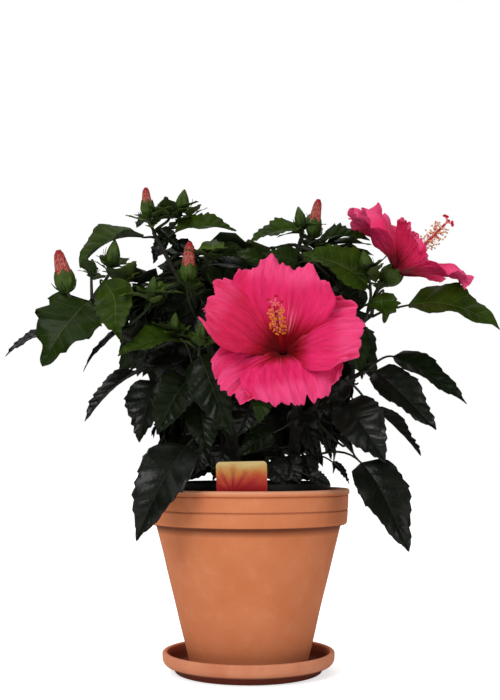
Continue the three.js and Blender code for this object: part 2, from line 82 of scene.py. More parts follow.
def path(a, b, c, d, count, last=1.0):
    """So many points along a Bezier curve from a towards d."""
    return bezier(a, b, c, d, np.linspace(0, last, count)[:, None])


def smooth_step(low, high, value):
    share = np.clip((value - low) / (high - low), 0, 1)
    return share * share * (3 - 2 * share)


def square_to(way):
    """Two directions square to a way and to each other."""
    side = unit(np.cross(way, UP if abs(way[2]) < 0.9 else np.array([1.0, 0, 0])))
    return side, np.cross(side, way)


def around(axes, angle):
    return axes[0] * math.cos(angle) + axes[1] * math.sin(angle)


def box_of(node):
    low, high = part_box(node)
    return np.array(low) / MM, np.array(high) / MM


def fill(tree, node, inputs):
    """Links or sets a node's inputs, by name or number or as a list in their order. That of a Map
    Range is its value, the span it reads and the span it gives. A hex colour is turned linear."""
    listed = inputs.items() if isinstance(inputs, dict) else enumerate(inputs)
    for key, value in listed:
        if isinstance(value, bpy.types.NodeSocket):
            tree.links.new(value, node.inputs[key])
        else:
            is_colour = isinstance(value, str) and value.startswith("#")
            node.inputs[key].default_value = srgb(value) if is_colour else value


def add_node(tree, kind, output=None, inputs=None, **settings):
    """Adds a node with its settings and inputs, and gives back one of its outputs or the node."""
    node = tree.nodes.new(kind)
    for name, value in settings.items():
        setattr(node, name, value)
    fill(tree, node, inputs or {})
    return node if output is None else node.outputs[output]


def write_mesh(name, points, faces=(), marks=None, uvs=None, edges=()):
    """A mesh from points in millimetres, a material number for each face and a UV for each point."""
    mesh = bpy.data.meshes.new(name)
    mesh.from_pydata((np.array(points, float) * MM).tolist(), edges, faces)
    if marks is not None:
        mesh.polygons.foreach_set("material_index", marks)
    if uvs is not None:
        layer = mesh.uv_layers.new(name="UVMap")
        corner = np.empty(len(mesh.loops), np.int32)
        mesh.loops.foreach_get("vertex_index", corner)
        layer.data.foreach_set("uv", np.asarray(uvs, np.float32)[corner].ravel())
    mesh.polygons.foreach_set("use_smooth", [True] * len(faces))
    mesh.update()
    return mesh


def note_on(mesh, name, kind, domain, values):
    """Writes a named value on each point or face of a mesh, for Geometry Nodes to read."""
    field = "vector" if kind == "FLOAT_VECTOR" else "value"
    mesh.attributes.new(name, kind, domain).data.foreach_set(field, values)


WELD = 0.004  # points closer than this are one
FINE_WELD = 0.001  # for small parts


def merged(mesh, distance=WELD):
    """Welds doubled points, drops collapsed faces and points the rest outwards."""
    work = bmesh.new()
    work.from_mesh(mesh)
    bmesh.ops.remove_doubles(work, verts=work.verts, dist=distance * MM)
    bmesh.ops.dissolve_degenerate(work, edges=work.edges, dist=distance * MM * 0.5)
    bmesh.ops.recalc_face_normals(work, faces=work.faces)
    work.to_mesh(mesh)
    work.free()
    mesh.update()
    return mesh


def show(obj):
    bpy.context.scene.collection.objects.link(obj)
    return obj


def place_piece(name, mesh, materials, slot, nodes=()):
    """Shows a mesh as a piece of the plant, riding on its body and standing for CAD nodes."""
    piece = show(bpy.data.objects.new(name, mesh))
    mesh.name = name
    for material in materials or ():
        mesh.materials.append(material)
    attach(piece, BODY)
    if nodes:
        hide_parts(*nodes)


def join_shells(shells):
    """Several (points, faces, marks, uvs) shells as one."""
    points, faces, marks, uvs = [], [], [], []
    for shell in shells:
        start = len(points)
        points.extend(shell[0])
        faces.extend([tuple(i + start for i in face) for face in shell[1]])
        marks.extend(shell[2])
        uvs.extend(shell[3])
    return points, faces, marks, uvs


def wrapped(rings, sides):
    """The faces of a closed body: point 0 at its foot, rings of points, and a last point at its tip."""
    faces = []
    last = 1 + (rings - 1) * sides
    for k in range(sides):
        n = (k + 1) % sides
        faces.append((0, 1 + n, 1 + k))
        faces.extend((a + k, a + n, a + sides + n, a + sides + k) for a in range(1, last, sides))
        faces.append((last + k, last + n, last + sides))
    return faces


def closed_shell(grid, below, uvs, mark_of, under, first=0):
    """A thin closed shell between two grids of points, with a material number for each upper face.
    First is the corner that each lower face starts from."""
    rows, columns = grid.shape[:2]
    total = rows * columns
    faces, marks = [], []
    for r in range(rows - 1):
        for c in range(columns - 1):
            a = r * columns + c
            faces.append((a, a + 1, a + columns + 1, a + columns))
            lower = (a, a + columns, a + columns + 1, a + 1)
            faces.append(tuple(i + total for i in lower[first:] + lower[:first]))
            marks += [mark_of(r, c), under]
    rim = list(range(columns - 1)) + [r * columns + columns - 1 for r in range(rows - 1)]
    rim += [total - 1 - c for c in range(columns - 1)] + [r * columns for r in range(rows - 1, 0, -1)]
    for a, b in zip(rim, rim[1:] + rim[:1]):
        faces.append((b, a, a + total, b + total))
        marks.append(under)
    points = [*grid.reshape(-1, 3), *below.reshape(-1, 3)]
    return points, faces, marks, [uv for line in uvs for uv in line] * 2


def grid_normals(grid, facing):
    """The direction square to a grid at each point, on the side that looks to facing."""
    normals = np.cross(np.gradient(grid, axis=1), np.gradient(grid, axis=0))
    size = np.linalg.norm(normals, axis=2, keepdims=True)
    normals = np.where(size > 1e-6, normals / np.maximum(size, 1e-9), facing)
    return -normals if (normals.reshape(-1, 3) @ facing).mean() < 0 else normals


def skin_grid(grid, uvs, thickness, facing, mark):
    """A grid of points as a thin closed shell of one material, facing the way given."""
    grid = np.array(grid)
    below = grid - grid_normals(grid, facing) * thickness
    return closed_shell(grid, below, uvs, lambda row, column: mark, mark, 1)


# ---- measuring CAD solids


def cad_triangles(node):
    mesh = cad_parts[node].data
    mesh.calc_loop_triangles()
    places = np.empty(len(mesh.vertices) * 3, np.float32)
    mesh.vertices.foreach_get("co", places)
    places = places.reshape(-1, 3).astype(float) / MM
    return places[np.array([t.vertices[:] for t in mesh.loop_triangles])]


def search_tree(nodes):
    """A search tree of the surface of several solids."""
    corners = np.concatenate([cad_triangles(node) for node in nodes]).reshape(-1, 3)
    return BVHTree.FromPolygons(corners.tolist(), np.arange(len(corners)).reshape(-1, 3).tolist())


def long_axis(triangles):
    """The direction that a surface is longest in."""
    sides = np.cross(triangles[:, 1] - triangles[:, 0], triangles[:, 2] - triangles[:, 0])
    area = (np.linalg.norm(sides, axis=1) + 1e-9)[:, None]
    middles = triangles.mean(1)
    apart = middles - (middles * area).sum(0) / area.sum()
    return np.linalg.eigh((apart * area).T @ apart)[1][:, -1]


def crossing(triangles, axis, level):
    """The points where a plane square to axis cuts a surface."""
    height = triangles @ axis - level
    found = []
    for a, b in ((0, 1), (1, 2), (2, 0)):
        hit = height[:, a] * height[:, b] < 0
        share = (height[hit, a] / (height[hit, a] - height[hit, b]))[:, None]
        found.append(triangles[hit, a] + share * (triangles[hit, b] - triangles[hit, a]))
    return np.concatenate(found)


def limb_line(node, stations=14, points=26):
    """The centre line and the radii of a limb, foot first, from cuts across its solid."""
    triangles = cad_triangles(node)
    axis = long_axis(triangles)
    reach = triangles.reshape(-1, 3) @ axis
    share = np.linspace(0.03, 0.97, stations)
    cuts = [crossing(triangles, axis, level) for level in reach.min() + share * np.ptp(reach)]
    centres = np.array([cut.mean(0) for cut in cuts])
    radii = [np.median(np.linalg.norm(cut - centre, axis=1)) for cut, centre in zip(cuts, centres)]
    even = np.linspace(0, 1, points)
    line = np.polyval(np.polyfit(share, centres, 4), even[:, None])
    widths = np.interp(even, share, radii)
    foot_last = widths[:4].mean() < widths[-4:].mean()
    return (line[::-1], widths[::-1]) if foot_last else (line, widths)


def surface_graph(triangles):
    """The welded corners of a surface and the lengths of the edges between them."""
    corners = np.unique(np.round(triangles.reshape(-1, 3), 2), axis=0)
    number = {tuple(p): i for i, p in enumerate(corners)}
    links = [{} for _ in corners]
    for triangle in np.round(triangles, 2):
        ids = [number[tuple(p)] for p in triangle]
        for a, b in ((0, 1), (1, 2), (2, 0)):
            length = float(np.linalg.norm(triangle[a] - triangle[b]))
            links[ids[a]][ids[b]] = links[ids[b]][ids[a]] = length
    return corners, links


def travel_from(start, links):
    """The shortest way along the edges from one corner to every other."""
    reach = np.full(len(links), np.inf)
    reach[start] = 0
    queue = [(0.0, start)]
    while queue:
        so_far, here = heapq.heappop(queue)
        if so_far > reach[here]:
            continue
        for there, length in links[here].items():
            if so_far + length < reach[there]:
                reach[there] = so_far + length
                heapq.heappush(queue, (so_far + length, there))
    return reach


def nearest_corner(corners, surface):
    """The number of the corner that lies nearest to a search tree's surface."""
    return int(np.argmin([surface.find_nearest(Vector(p))[3] for p in corners]))


STALK_WIDTH = 3.3  # corners this close together belong to one ring of a thin stalk or tip
STALK_CORNERS = 6  # how many corners such a ring has
STALK_REACH = 6  # a blade begins at least this far from its limb
BLADE_REACH = 60  # a cut is no wider than this on each side of the midrib


def blade_ends(triangles):
    """Where a foliage blade's stalk leaves its limb, where the blade begins, and its tip."""
    corners, links = surface_graph(triangles)
    root = nearest_corner(corners, LIMB_SURFACE)
    reach = travel_from(root, links)
    close = np.linalg.norm(corners[:, None] - corners[None], axis=2) < STALK_WIDTH
    away = np.linalg.norm(corners - corners[root], axis=1) > STALK_REACH
    far = (close.sum(1) >= STALK_CORNERS) & away
    far &= np.isfinite(reach)
    order = np.flatnonzero(far)[np.argsort(reach[far])]
    return corners[root], corners[close[order[0]]].mean(0), corners[close[order[-1]]].mean(0)


def blade_cuts(triangles, base, tip, stations=26):
    """Cuts across a foliage blade: how far along, how wide, and their middle, left and right."""
    rows, sideways = [], None
    for share in np.linspace(0.04, 0.96, stations):
        centre = base + (tip - base) * share
        cut = crossing(triangles, unit(tip - base), centre @ unit(tip - base))
        cut = cut[np.linalg.norm(cut - centre, axis=1) < BLADE_REACH]
        if len(cut) < 3:
            continue
        side = np.linalg.svd(cut - cut.mean(0), full_matrices=False)[2][0]
        if sideways is not None and side @ sideways < 0:
            side = -side
        along_side = cut @ side
        left, right = cut[along_side.argmin()], cut[along_side.argmax()]
        width = np.linalg.norm(left - right)
        if width > 9 or sideways is None:
            sideways = side
        close = np.abs(along_side - (left + right) @ side / 2) <= max(0.14 * width, 0.8)
        middle = cut[close].mean(0) if close.any() else (left + right) / 2
        rows.append((share, width, middle, left, right))
    return rows


WIDENS = 0.42  # how fast a leaf widens from its base
TIP_DRAWN_OUT = 0.2  # a leaf ends in a finer point than its solid


def leaf_width(share, taper):
    """How wide a leaf is at a share of its length, against its widest place."""
    widest = WIDENS / (WIDENS + taper)
    return (share / widest) ** WIDENS * ((1 - share) / (1 - widest)) ** taper


def blade_shape(node):
    """The midrib, the half blades and the stalk of a foliage blade, from cuts across its solid."""
    triangles = cad_triangles(node)
    root, base, tip = blade_ends(triangles)
    axis = unit(tip - base)
    rows = blade_cuts(triangles, base, tip)
    share, width = np.array([row[:2] for row in rows]).T
    middle, left, right = (np.array([row[k] for row in rows]) for k in (2, 3, 4))
    pull = [6] + [1] * len(rows) + [6]  # its ends hold the midrib
    midrib = np.polyfit([0, *share, 1], [base, *middle, tip], 3, w=pull)
    fits = []
    for taper in (0.8, 1.6):
        guesses = (width / leaf_width(share, taper))[(share > 0.1) & (share < 0.85)]
        full = np.median(guesses)
        fits.append((np.median(np.abs(guesses / full - 1)), taper, full))
    _, taper, full = min(fits)
    big = (width > 0.5 * full) & (width < 1.12 * full)
    ways = [np.array([unit(way) for way in half - middle])[big] for half in (left, right)]
    halves = [np.polyfit(share[big], way, 1) for way in ways]
    raised = (left + right - 2 * middle).mean(0)
    up = raised - axis * (raised @ axis)
    if np.linalg.norm(raised) < 1.2:
        up = np.cross(axis, ways[0].mean(0))
        up = up if up[2] > 0 else -up
    if np.cross(ways[0].mean(0), axis) @ up < 0:
        halves.reverse()
    return {
        "middle": lambda v: np.polyval(midrib, v),
        "left": lambda v: unit(np.polyval(halves[0], v)),
        "right": lambda v: unit(np.polyval(halves[1], v)),
        "half": float(full) / 2,
        "taper": taper + TIP_DRAWN_OUT,
        "up": unit(up),
        "root": root,
    }


# ---- materials

MIX_A, MIX_B, MIX_RESULT = 6, 7, 2  # the colour sockets of a Mix node


def per(size):
    """The pattern scale that makes one repeat of a size in millimetres on Object coordinates."""
    return 1 / (size * MM)


class Skin:
    """A material in the making: its nodes, its shader, and where a point lies on its piece."""

    def __init__(self, name, colour, roughness, specular):
        self.material = bpy.data.materials.new(name)
        self.material.use_nodes = True
        self.tree = self.material.node_tree
        self.shader = self.tree.nodes["Principled BSDF"]
        self.wear({"Base Color": colour, "Roughness": roughness, "Specular IOR Level": specular})
        spots = add_node(self.tree, "ShaderNodeTexCoord")
        self.place, self.uv = spots.outputs["Object"], spots.outputs["UV"]

    def wear(self, inputs):
        fill(self.tree, self.shader, inputs)

    def tinted(self, ground, value, span, tint, strength=1.0):
        """A ground colour that takes on a tint as a value goes through a span."""
        share = add_node(self.tree, "ShaderNodeMapRange", "Result", [value, *span, 0, strength])
        mixed = {0: share, MIX_A: ground, MIX_B: tint}
        return add_node(self.tree, "ShaderNodeMix", MIX_RESULT, mixed, data_type="RGBA"), share

    def clouded(self, ground, size, detail, roughness, span, tint, strength=1.0):
        """A ground colour with patches of a tint, some millimetres across, where a noise goes
        through a span, and the noise."""
        blotch = {"Vector": self.place, "Scale": per(size), "Detail": detail, "Roughness": roughness}
        cloud = add_node(self.tree, "ShaderNodeTexNoise", "Fac", blotch)
        return self.tinted(ground, cloud, span, tint, strength)[0], cloud

    def painted_light_and_stains(self, ground, light_and_stains):
        """A ground colour with bands of painted shade and painted highlight, and stains, by height or by
        distance from the axis: a band comes in from one height to another and ends short of a third."""
        height = add_node(self.tree, "ShaderNodeSeparateXYZ", "Z", {"Vector": self.place})
        level = [self.place, (1, 1, 0)]
        flat = add_node(self.tree, "ShaderNodeVectorMath", "Vector", level, operation="MULTIPLY")
        reach = add_node(self.tree, "ShaderNodeVectorMath", "Value", [flat], operation="LENGTH")
        for kind, start, full, stop, strength, code in light_and_stains:
            value = height if kind == "height" else reach
            past = stop + math.copysign(0.5, stop - full)
            rising = [value, start * MM, full * MM, 0, strength]
            rise = add_node(self.tree, "ShaderNodeMapRange", "Result", rising)
            fall = add_node(self.tree, "ShaderNodeMapRange", "Result", [value, past * MM, stop * MM])
            both = add_node(self.tree, "ShaderNodeMath", "Value", [rise, fall], operation="MULTIPLY")
            mixed = {0: both, MIX_A: ground, MIX_B: code}
            ground = add_node(self.tree, "ShaderNodeMix", MIX_RESULT, mixed, data_type="RGBA")
        return ground

    def drawn_out(self, counts, detail, roughness=0.5):
        """Streaks on the piece's own UV, so many across it and so many along it."""
        stretched = [self.uv, (*counts, 1.0)]
        fan = add_node(self.tree, "ShaderNodeVectorMath", "Vector", stretched, operation="MULTIPLY")
        streaked = {"Vector": fan, "Scale": 1.0, "Detail": detail, "Roughness": roughness}
        return add_node(self.tree, "ShaderNodeTexNoise", "Fac", streaked)

    def finished(self, colour, height, strength, depth, over=None):
        """The material, in a colour and with a relief some millimetres deep, maybe over another."""
        relief = {"Height": height, "Strength": strength, "Distance": depth * MM}
        if over:
            relief["Normal"] = over
        normal = add_node(self.tree, "ShaderNodeBump", "Normal", relief)
        self.wear({"Base Color": colour, "Normal": normal})
        return self.material


def fired_clay(name, body, pale, dark, spots, light_and_stains):
    """Unglazed terracotta, pressed in a turning mould and fired: matt, sandy, with faint turning
    lines, soft mottles where the clay dried unevenly and a little pale lime bloom."""
    skin = Skin(name, body, 0.86, 0.3)
    ground, _ = skin.clouded(body, 34, 4, 0.6, (0.32, 0.68), pale)
    ground, sand = skin.clouded(ground, 1.1, 3, 0.7, (0.56, 0.78), dark, spots)
    ground, _ = skin.clouded(ground, 17, 6, 0.65, (0.56, 0.8), "#e6b597", 0.12)
    # bands of painted shade and painted highlight by height and by reach, and stains
    ground = skin.painted_light_and_stains(ground, light_and_stains)
    swirl = {"Distortion": 1.2, "Detail": 2, "Detail Scale": 0.6}
    rings = {"Vector": skin.place, "Scale": per(7.7), **swirl}
    turning = add_node(skin.tree, "ShaderNodeTexWave", "Fac", rings, bands_direction="Z")
    shallow = {"Height": turning, "Strength": 0.16, "Distance": 0.05 * MM}
    lines = add_node(skin.tree, "ShaderNodeBump", "Normal", shallow)
    return skin.finished(ground, sand, 0.5, 0.16, lines)


def moulded_polypropylene(name, colour):
    """Black polypropylene, injection moulded: a satin skin with a fine mould grain."""
    skin = Skin(name, colour, 0.5, 0.2)
    grained = {"Vector": skin.place, "Scale": per(0.9), "Detail": 2}
    grain = add_node(skin.tree, "ShaderNodeTexNoise", "Fac", grained)
    worn = add_node(skin.tree, "ShaderNodeMapRange", "Result", [grain, 0.3, 0.7, 0.36, 0.55])
    skin.wear({"Roughness": worn})
    return skin.finished(colour, grain, 0.3, 0.05)


def peat(name, dark, light):
    """Peat compost, milled and damp: nearly black brown fibres and crumbs."""
    skin = Skin(name, dark, 0.95, 0.2)
    return skin.finished(*skin.clouded(dark, 2.0, 6, 0.7, (0.35, 0.7), light), 0.8, 0.8)


def printed_card(low, high, centre):
    """A plant label of printed polypropylene card: a glossy wash from cream through orange to red,
    with a plain burst of rays. The print carries no words and no picture."""
    skin = Skin("polypropylene_card_printed", "#c2542f", 0.45, 0.2)
    tree = skin.tree
    up = add_node(tree, "ShaderNodeSeparateXYZ", "Z", {"Vector": skin.place})
    height = add_node(tree, "ShaderNodeMapRange", "Result", [up, low * MM, high * MM])
    clouds = {"Vector": skin.place, "Scale": per(13), "Detail": 3, "Roughness": 0.6}
    cloud = add_node(tree, "ShaderNodeTexNoise", "Fac", clouds)
    stir = add_node(tree, "ShaderNodeMath", "Value", [cloud, 0.5, height], operation="MULTIPLY_ADD")
    band = add_node(tree, "ShaderNodeMapRange", "Result", [stir, 0.2, 1.35])
    wash = add_node(tree, "ShaderNodeValToRGB", None, {"Fac": band})
    between = (0.33, "#a3201c"), (0.52, "#b14a26"), (0.68, "#b9803e")
    colour_stops(wash, (0.1, "#8e1c22"), (0.88, "#c4ae74"), *between)
    from_centre = [skin.place, tuple(c * MM for c in centre)]
    middle = add_node(tree, "ShaderNodeVectorMath", "Vector", from_centre, operation="SUBTRACT")
    apart = add_node(tree, "ShaderNodeSeparateXYZ", None, {"Vector": middle}).outputs
    angle = add_node(tree, "ShaderNodeMath", "Value", [apart["Z"], apart["X"]], operation="ARCTAN2")
    turns = add_node(tree, "ShaderNodeMath", "Value", [angle, 13.0], operation="MULTIPLY")
    ray = add_node(tree, "ShaderNodeMath", "Value", [turns], operation="SINE")
    width = add_node(tree, "ShaderNodeMapRange", "Result", [ray, 0.1, 0.6])
    reach = add_node(tree, "ShaderNodeVectorMath", "Value", [middle], operation="LENGTH")
    fade = add_node(tree, "ShaderNodeMapRange", "Result", [reach, 26 * MM, 8 * MM, 0, 0.95])
    burst = add_node(tree, "ShaderNodeMath", "Value", [width, fade], operation="MULTIPLY")
    inks = {0: burst, MIX_A: wash.outputs["Color"], MIX_B: "#8c0f22"}
    ink = add_node(tree, "ShaderNodeMix", MIX_RESULT, inks, data_type="RGBA")
    skin.wear({"Base Color": ink, "Coat Weight": 0.08})
    return skin.material


def colour_stops(ramp, first, last, *between):
    """Sets the colours of a ramp, each at its place."""
    stops = ramp.color_ramp.elements
    for stop, (position, code) in zip(stops, (first, last)):
        stop.position = position
        stop.color = srgb(code)
    for position, code in between:
        stops.new(position).color = srgb(code)


def bark(name, dark, light, lenticels, relief):
    """The bark of a young shrub: thin and dull, with pale corky lenticels."""
    skin = Skin(name, dark, 0.78, 0.35)
    ground, grain = skin.clouded(dark, 3.2, 5, 0.65, (0.35, 0.68), light)
    cells = {"Vector": skin.place, "Scale": per(2.1)}
    cell = add_node(skin.tree, "ShaderNodeTexVoronoi", "Distance", cells)
    colour, dots = skin.tinted(ground, cell, (0.24, 0.12), lenticels, 0.8)
    bumps = [dots, 0.6, grain]
    height = add_node(skin.tree, "ShaderNodeMath", "Value", bumps, operation="MULTIPLY_ADD")
    return skin.finished(colour, height, 0.7, relief)


VEINS = 7


def leaf_blade(name, deep, fresh, roughness, gloss, quilt):
    """The waxy upper side of a hibiscus leaf: a plain green with a cuticle that shines, and a blade
    that is quilted between side veins. The veins sit at even steps of the leaf's own UV."""
    skin = Skin(name, deep, roughness, gloss)
    tree = skin.tree
    colour, cloud = skin.clouded(deep, 16, 3, 0.6, (0.35, 0.65), fresh)
    out = add_node(tree, "ShaderNodeSeparateXYZ", "Y", {"Vector": skin.uv})
    count = add_node(tree, "ShaderNodeMath", "Value", [out, VEINS], operation="MULTIPLY")
    panel = add_node(tree, "ShaderNodeMath", "Value", [count, 1.0], operation="PINGPONG")
    cells = {"Vector": skin.place, "Scale": per(2.6)}
    cell = add_node(tree, "ShaderNodeTexVoronoi", "Distance", cells, feature="SMOOTH_F1")
    height = add_node(tree, "ShaderNodeMath", "Value", [cell, -0.55, panel], operation="MULTIPLY_ADD")
    waxed = [cloud, 0.3, 0.7, roughness - 0.07, roughness + 0.1]
    sheen = add_node(tree, "ShaderNodeMapRange", "Result", waxed)
    skin.wear({"Coat Weight": 0.05, "Coat Roughness": 0.16, "Roughness": sheen})
    return skin.finished(colour, height, 0.75, quilt)


def soft_tissue(name, low, high, roughness, size, relief, specular=0.4):
    """Living green or coloured tissue without a thick cuticle: dull, in two close tones."""
    skin = Skin(name, low, roughness, specular)
    return skin.finished(*skin.clouded(low, size, 4, 0.6, (0.36, 0.66), high), 0.5, relief)


def petal_tissue(name, eye, throat, body, margin, rays):
    """A hibiscus petal: thin silky tissue with a sheen, veins that fan out from a dark eye, a few
    pale rays out of the throat and a paler margin. Its UV runs across and out along the petal."""
    skin = Skin(name, body, 0.6, 0.15)
    skin.wear({"Sheen Weight": 0.06, "Sheen Tint": "#ffb0c6"})
    tree = skin.tree
    parts = add_node(tree, "ShaderNodeSeparateXYZ", None, {"Vector": skin.uv}).outputs
    streaks = skin.drawn_out((30.0, 2.2), 3, 0.6)
    ragged = [streaks, 0.34, parts["Y"]]
    edge = add_node(tree, "ShaderNodeMath", "Value", ragged, operation="MULTIPLY_ADD")
    ramp = add_node(tree, "ShaderNodeValToRGB", None, {"Fac": edge})
    colour_stops(ramp, (0.39, eye), (1.0, margin), (0.49, throat), (0.63, body), (0.88, body))
    veined, _ = skin.tinted(ramp.outputs["Color"], streaks, (0.5, 0.7), throat, 0.42)
    fine = skin.drawn_out((90.0, 1.4), 2)
    shown = add_node(tree, "ShaderNodeMapRange", "Result", [fine, 0.57, 0.66])
    fold = add_node(tree, "ShaderNodeMath", "Value", [parts["X"], 0.5], operation="PINGPONG")
    for value, start, full, strength in (
        # a ray keeps to the middle of the petal, ends half way out and starts beyond the eye
        (fold, 0.28, 0.4, 1.0),
        (parts["Y"], 0.62, 0.4, rays),
        (parts["Y"], 0.24, 0.36, 1.0),
    ):
        gate = add_node(tree, "ShaderNodeMapRange", "Result", [value, start, full, 0, strength])
        shown = add_node(tree, "ShaderNodeMath", "Value", [shown, gate], operation="MULTIPLY")
    mixed = {0: shown, MIX_A: veined, MIX_B: "#ffc3d2"}
    rayed = add_node(tree, "ShaderNodeMix", MIX_RESULT, mixed, data_type="RGBA")
    return skin.finished(rayed, streaks, 0.9, 1.6)


def rolled_petals(name, red, pale):
    """The furled petals of a bud: a tight twist, deep red with paler streaks along the turns."""
    skin = Skin(name, red, 0.6, 0.35)
    tree = skin.tree
    streaks = skin.drawn_out((34.0, 7.0), 4, 0.65)
    share = add_node(tree, "ShaderNodeMapRange", "Result", [streaks, 0.49, 0.57, 0, 0.62])
    out = add_node(tree, "ShaderNodeSeparateXYZ", "Y", {"Vector": skin.uv})
    low = add_node(tree, "ShaderNodeMapRange", "Result", [out, 0.92, 0.7])
    both = add_node(tree, "ShaderNodeMath", "Value", [share, low], operation="MULTIPLY")
    mixed = {0: both, MIX_A: red, MIX_B: pale}
    colour = add_node(tree, "ShaderNodeMix", MIX_RESULT, mixed, data_type="RGBA")
    return skin.finished(colour, streaks, 0.6, 0.5)


SAUCER_TOP, SAUCER_RIM, SAUCER_FOOT = 18.4, 73.1, 62.0
POT_FOOT, POT_FOOT_RADIUS = 6.35, 49.6
SHOULDER, SHOULDER_RADIUS = 125.0, 78.0
BAND_RADIUS, LIP_RADIUS, POT_TOP = 83.7, 85.9, 155.7
CLAY_WALL = 8.6
GROOVE = 138.4
NURSERY_FOOT, NURSERY_TOP, NURSERY_RIM, NURSERY_WALL = 50.0, 161.0, 69.5, 67.1

POT_PAINTED_LIGHT_AND_STAINS = (
    # kind, where a band starts, is full and stops in millimetres, its strength and colour;
    # most bands are painted shade or painted highlight
    # painted shade under the overhang of the band
    ("height", SHOULDER - 6.5, SHOULDER - 0.6, SHOULDER + 1.3, 0.85, "#5a2412"),
    # painted shade in the pressed groove
    ("height", GROOVE - 1.5, GROOVE - 0.2, GROOVE + 0.5, 0.5, "#7a3a20"),
    # painted shade under the step at the foot of the lip
    ("height", POT_TOP - 6.6, POT_TOP - 5.0, POT_TOP - 4.4, 0.4, "#8a4528"),
    # darker towards the foot
    ("height", 26.0, 10.0, 0.0, 0.14, "#a8562c"),
    # painted highlight along the top of the lip, with some pale dust
    ("height", POT_TOP - 3.6, POT_TOP - 1.2, POT_TOP + 6.0, 0.6, "#e6ab88"),
)
SAUCER_PAINTED_SHADE_AND_DAMP = (
    # painted shade on the low foot of the saucer
    ("height", 8.6, 6.8, -5.0, 0.85, "#54200f"),
    # painted shade inside the saucer, under the pot, with some damp
    ("reach", SAUCER_RIM - 3.6, SAUCER_RIM - 5.4, -5.0, 0.8, "#662414"),
)
CLAY = fired_clay("terracotta_fired_unglazed", "#c97549", "#d28055", "#a9562f", 0.35, POT_PAINTED_LIGHT_AND_STAINS)
SAUCER_CLAY = fired_clay("terracotta_fired_saucer", "#cb7d5a", "#dc9470", "#9c4e2c", 0.45, SAUCER_PAINTED_SHADE_AND_DAMP)
PLASTIC = moulded_polypropylene("polypropylene_moulded_black", "#050604")
SOIL = peat("peat_compost", "#17100b", "#3a2a1d")
CRUMBS = peat("peat_crumbs", "#241a12", "#4b3828")
# the stems' grey-brown bark is given a near-black tone: painted shade of the inside of the crown
BARK_IN_PAINTED_SHADE = bark("bark_young_hibiscus", "#15130e", "#29261d", "#514b3c", 0.35)
SHOOT = bark("bark_green_shoot", "#1a2010", "#2b321b", "#4d5134", 0.12)
STALK = soft_tissue("leaf_stalk_green", "#1a200f", "#2b331a", 0.5, 5, 0.05, 0.2)
LEAF_TONES = {
    # apart from young, the tones are one leaf green painted in steps from painted light (sunlit) to
    # painted shade (shade), by where a leaf sits in the crown
    # two greens of the cuticle, its roughness, gloss and quilting; two greens of the underside, its
    # roughness and gloss; two greens of the veins
    "young": (
        ("#344713", "#4d6222", 0.42, 0.06, 0.4),
        ("#38471d", "#475628", 0.65, 0.1),
        ("#53622f", "#64713f"),
    ),
    "sunlit": (
        ("#212f08", "#2f420d", 0.34, 0.05, 0.5),
        ("#283416", "#32401d", 0.65, 0.1),
        ("#3e4d20", "#4c5b2c"),
    ),
    "green": (
        ("#162305", "#1f2f08", 0.32, 0.05, 0.5),
        ("#1e2814", "#263119", 0.65, 0.1),
        ("#2a3617", "#354120"),
    ),
    "deep": (
        ("#0a1204", "#101907", 0.32, 0.09, 0.6),
        ("#14190f", "#1b2115", 0.62, 0.12),
        ("#1a2212", "#232c18"),
    ),
    "shade": (
        ("#080c05", "#0e1308", 0.33, 0.2, 0.55),
        ("#0e100b", "#141710", 0.6, 0.15),
        ("#0f130c", "#161910"),
    ),
}


def leaf_skins(tone):
    """The upper side, the underside and the veins of a leaf in one tone."""
    cuticle, (dull, pale, roughness, gloss), veins = LEAF_TONES[tone]
    return [
        leaf_blade(f"leaf_cuticle_{tone}", *cuticle),
        soft_tissue(f"leaf_underside_{tone}", dull, pale, roughness, 12, 0.2, gloss),
        soft_tissue(f"leaf_vein_{tone}", *veins, 0.5, 6, 0.05, 0.15),
    ]


LEAF_SKINS = {tone: leaf_skins(tone) for tone in LEAF_TONES}


# ---- geometry nodes

STORED = "GeometryNodeInputNamedAttribute"


def new_tree(name, inputs):
    """An empty Geometry Nodes tree with a geometry input, the named inputs and a geometry output."""
    tree = bpy.data.node_groups.new(name, "GeometryNodeTree")
    for label, kind in {"Geometry": "Geometry", **inputs}.items():
        tree.interface.new_socket(label, in_out="INPUT", socket_type=f"NodeSocket{kind}")
    tree.interface.new_socket("Geometry", in_out="OUTPUT", socket_type="NodeSocketGeometry")
    return tree, add_node(tree, "NodeGroupInput").outputs


def end_tree(tree, shapes, skins):
    """Ends a tree: real meshes, each part of them in its own material."""
    last = add_node(tree, "GeometryNodeRealizeInstances", "Geometry", {"Geometry": shapes})
    part = add_node(tree, STORED, "Attribute", {"Name": "part"}, data_type="INT")
    whole_numbers = {"data_type": "INT", "operation": "EQUAL"}
    for number, skin in enumerate(skins):
        dress = {"Geometry": last, "Material": skin}
        if len(skins) > 1:
            same = {2: part, 3: number}
            dress["Selection"] = add_node(tree, "FunctionNodeCompare", "Result", same, **whole_numbers)
        last = add_node(tree, "GeometryNodeSetMaterial", "Geometry", dress)
    add_node(tree, "NodeGroupOutput", None, {"Geometry": last})
    return tree


def grown(name, source, tree, values):
    """The plain mesh that a tree makes of a source mesh, with its named inputs set."""
    holder = show(bpy.data.objects.new(name, source))
    modifier = holder.modifiers.new("grow", "NODES")
    modifier.node_group = tree
    given = [item for item in tree.interface.items_tree if item.in_out == "INPUT"]
    sockets = {item.name: item.identifier for item in given}
    for label, value in values.items():
        modifier[sockets[label]] = value
    view = bpy.context.evaluated_depsgraph_get()
    mesh = bpy.data.meshes.new_from_object(holder.evaluated_get(view), depsgraph=view)
    holder.modifiers.clear()
    bpy.data.objects.remove(holder)
    return mesh


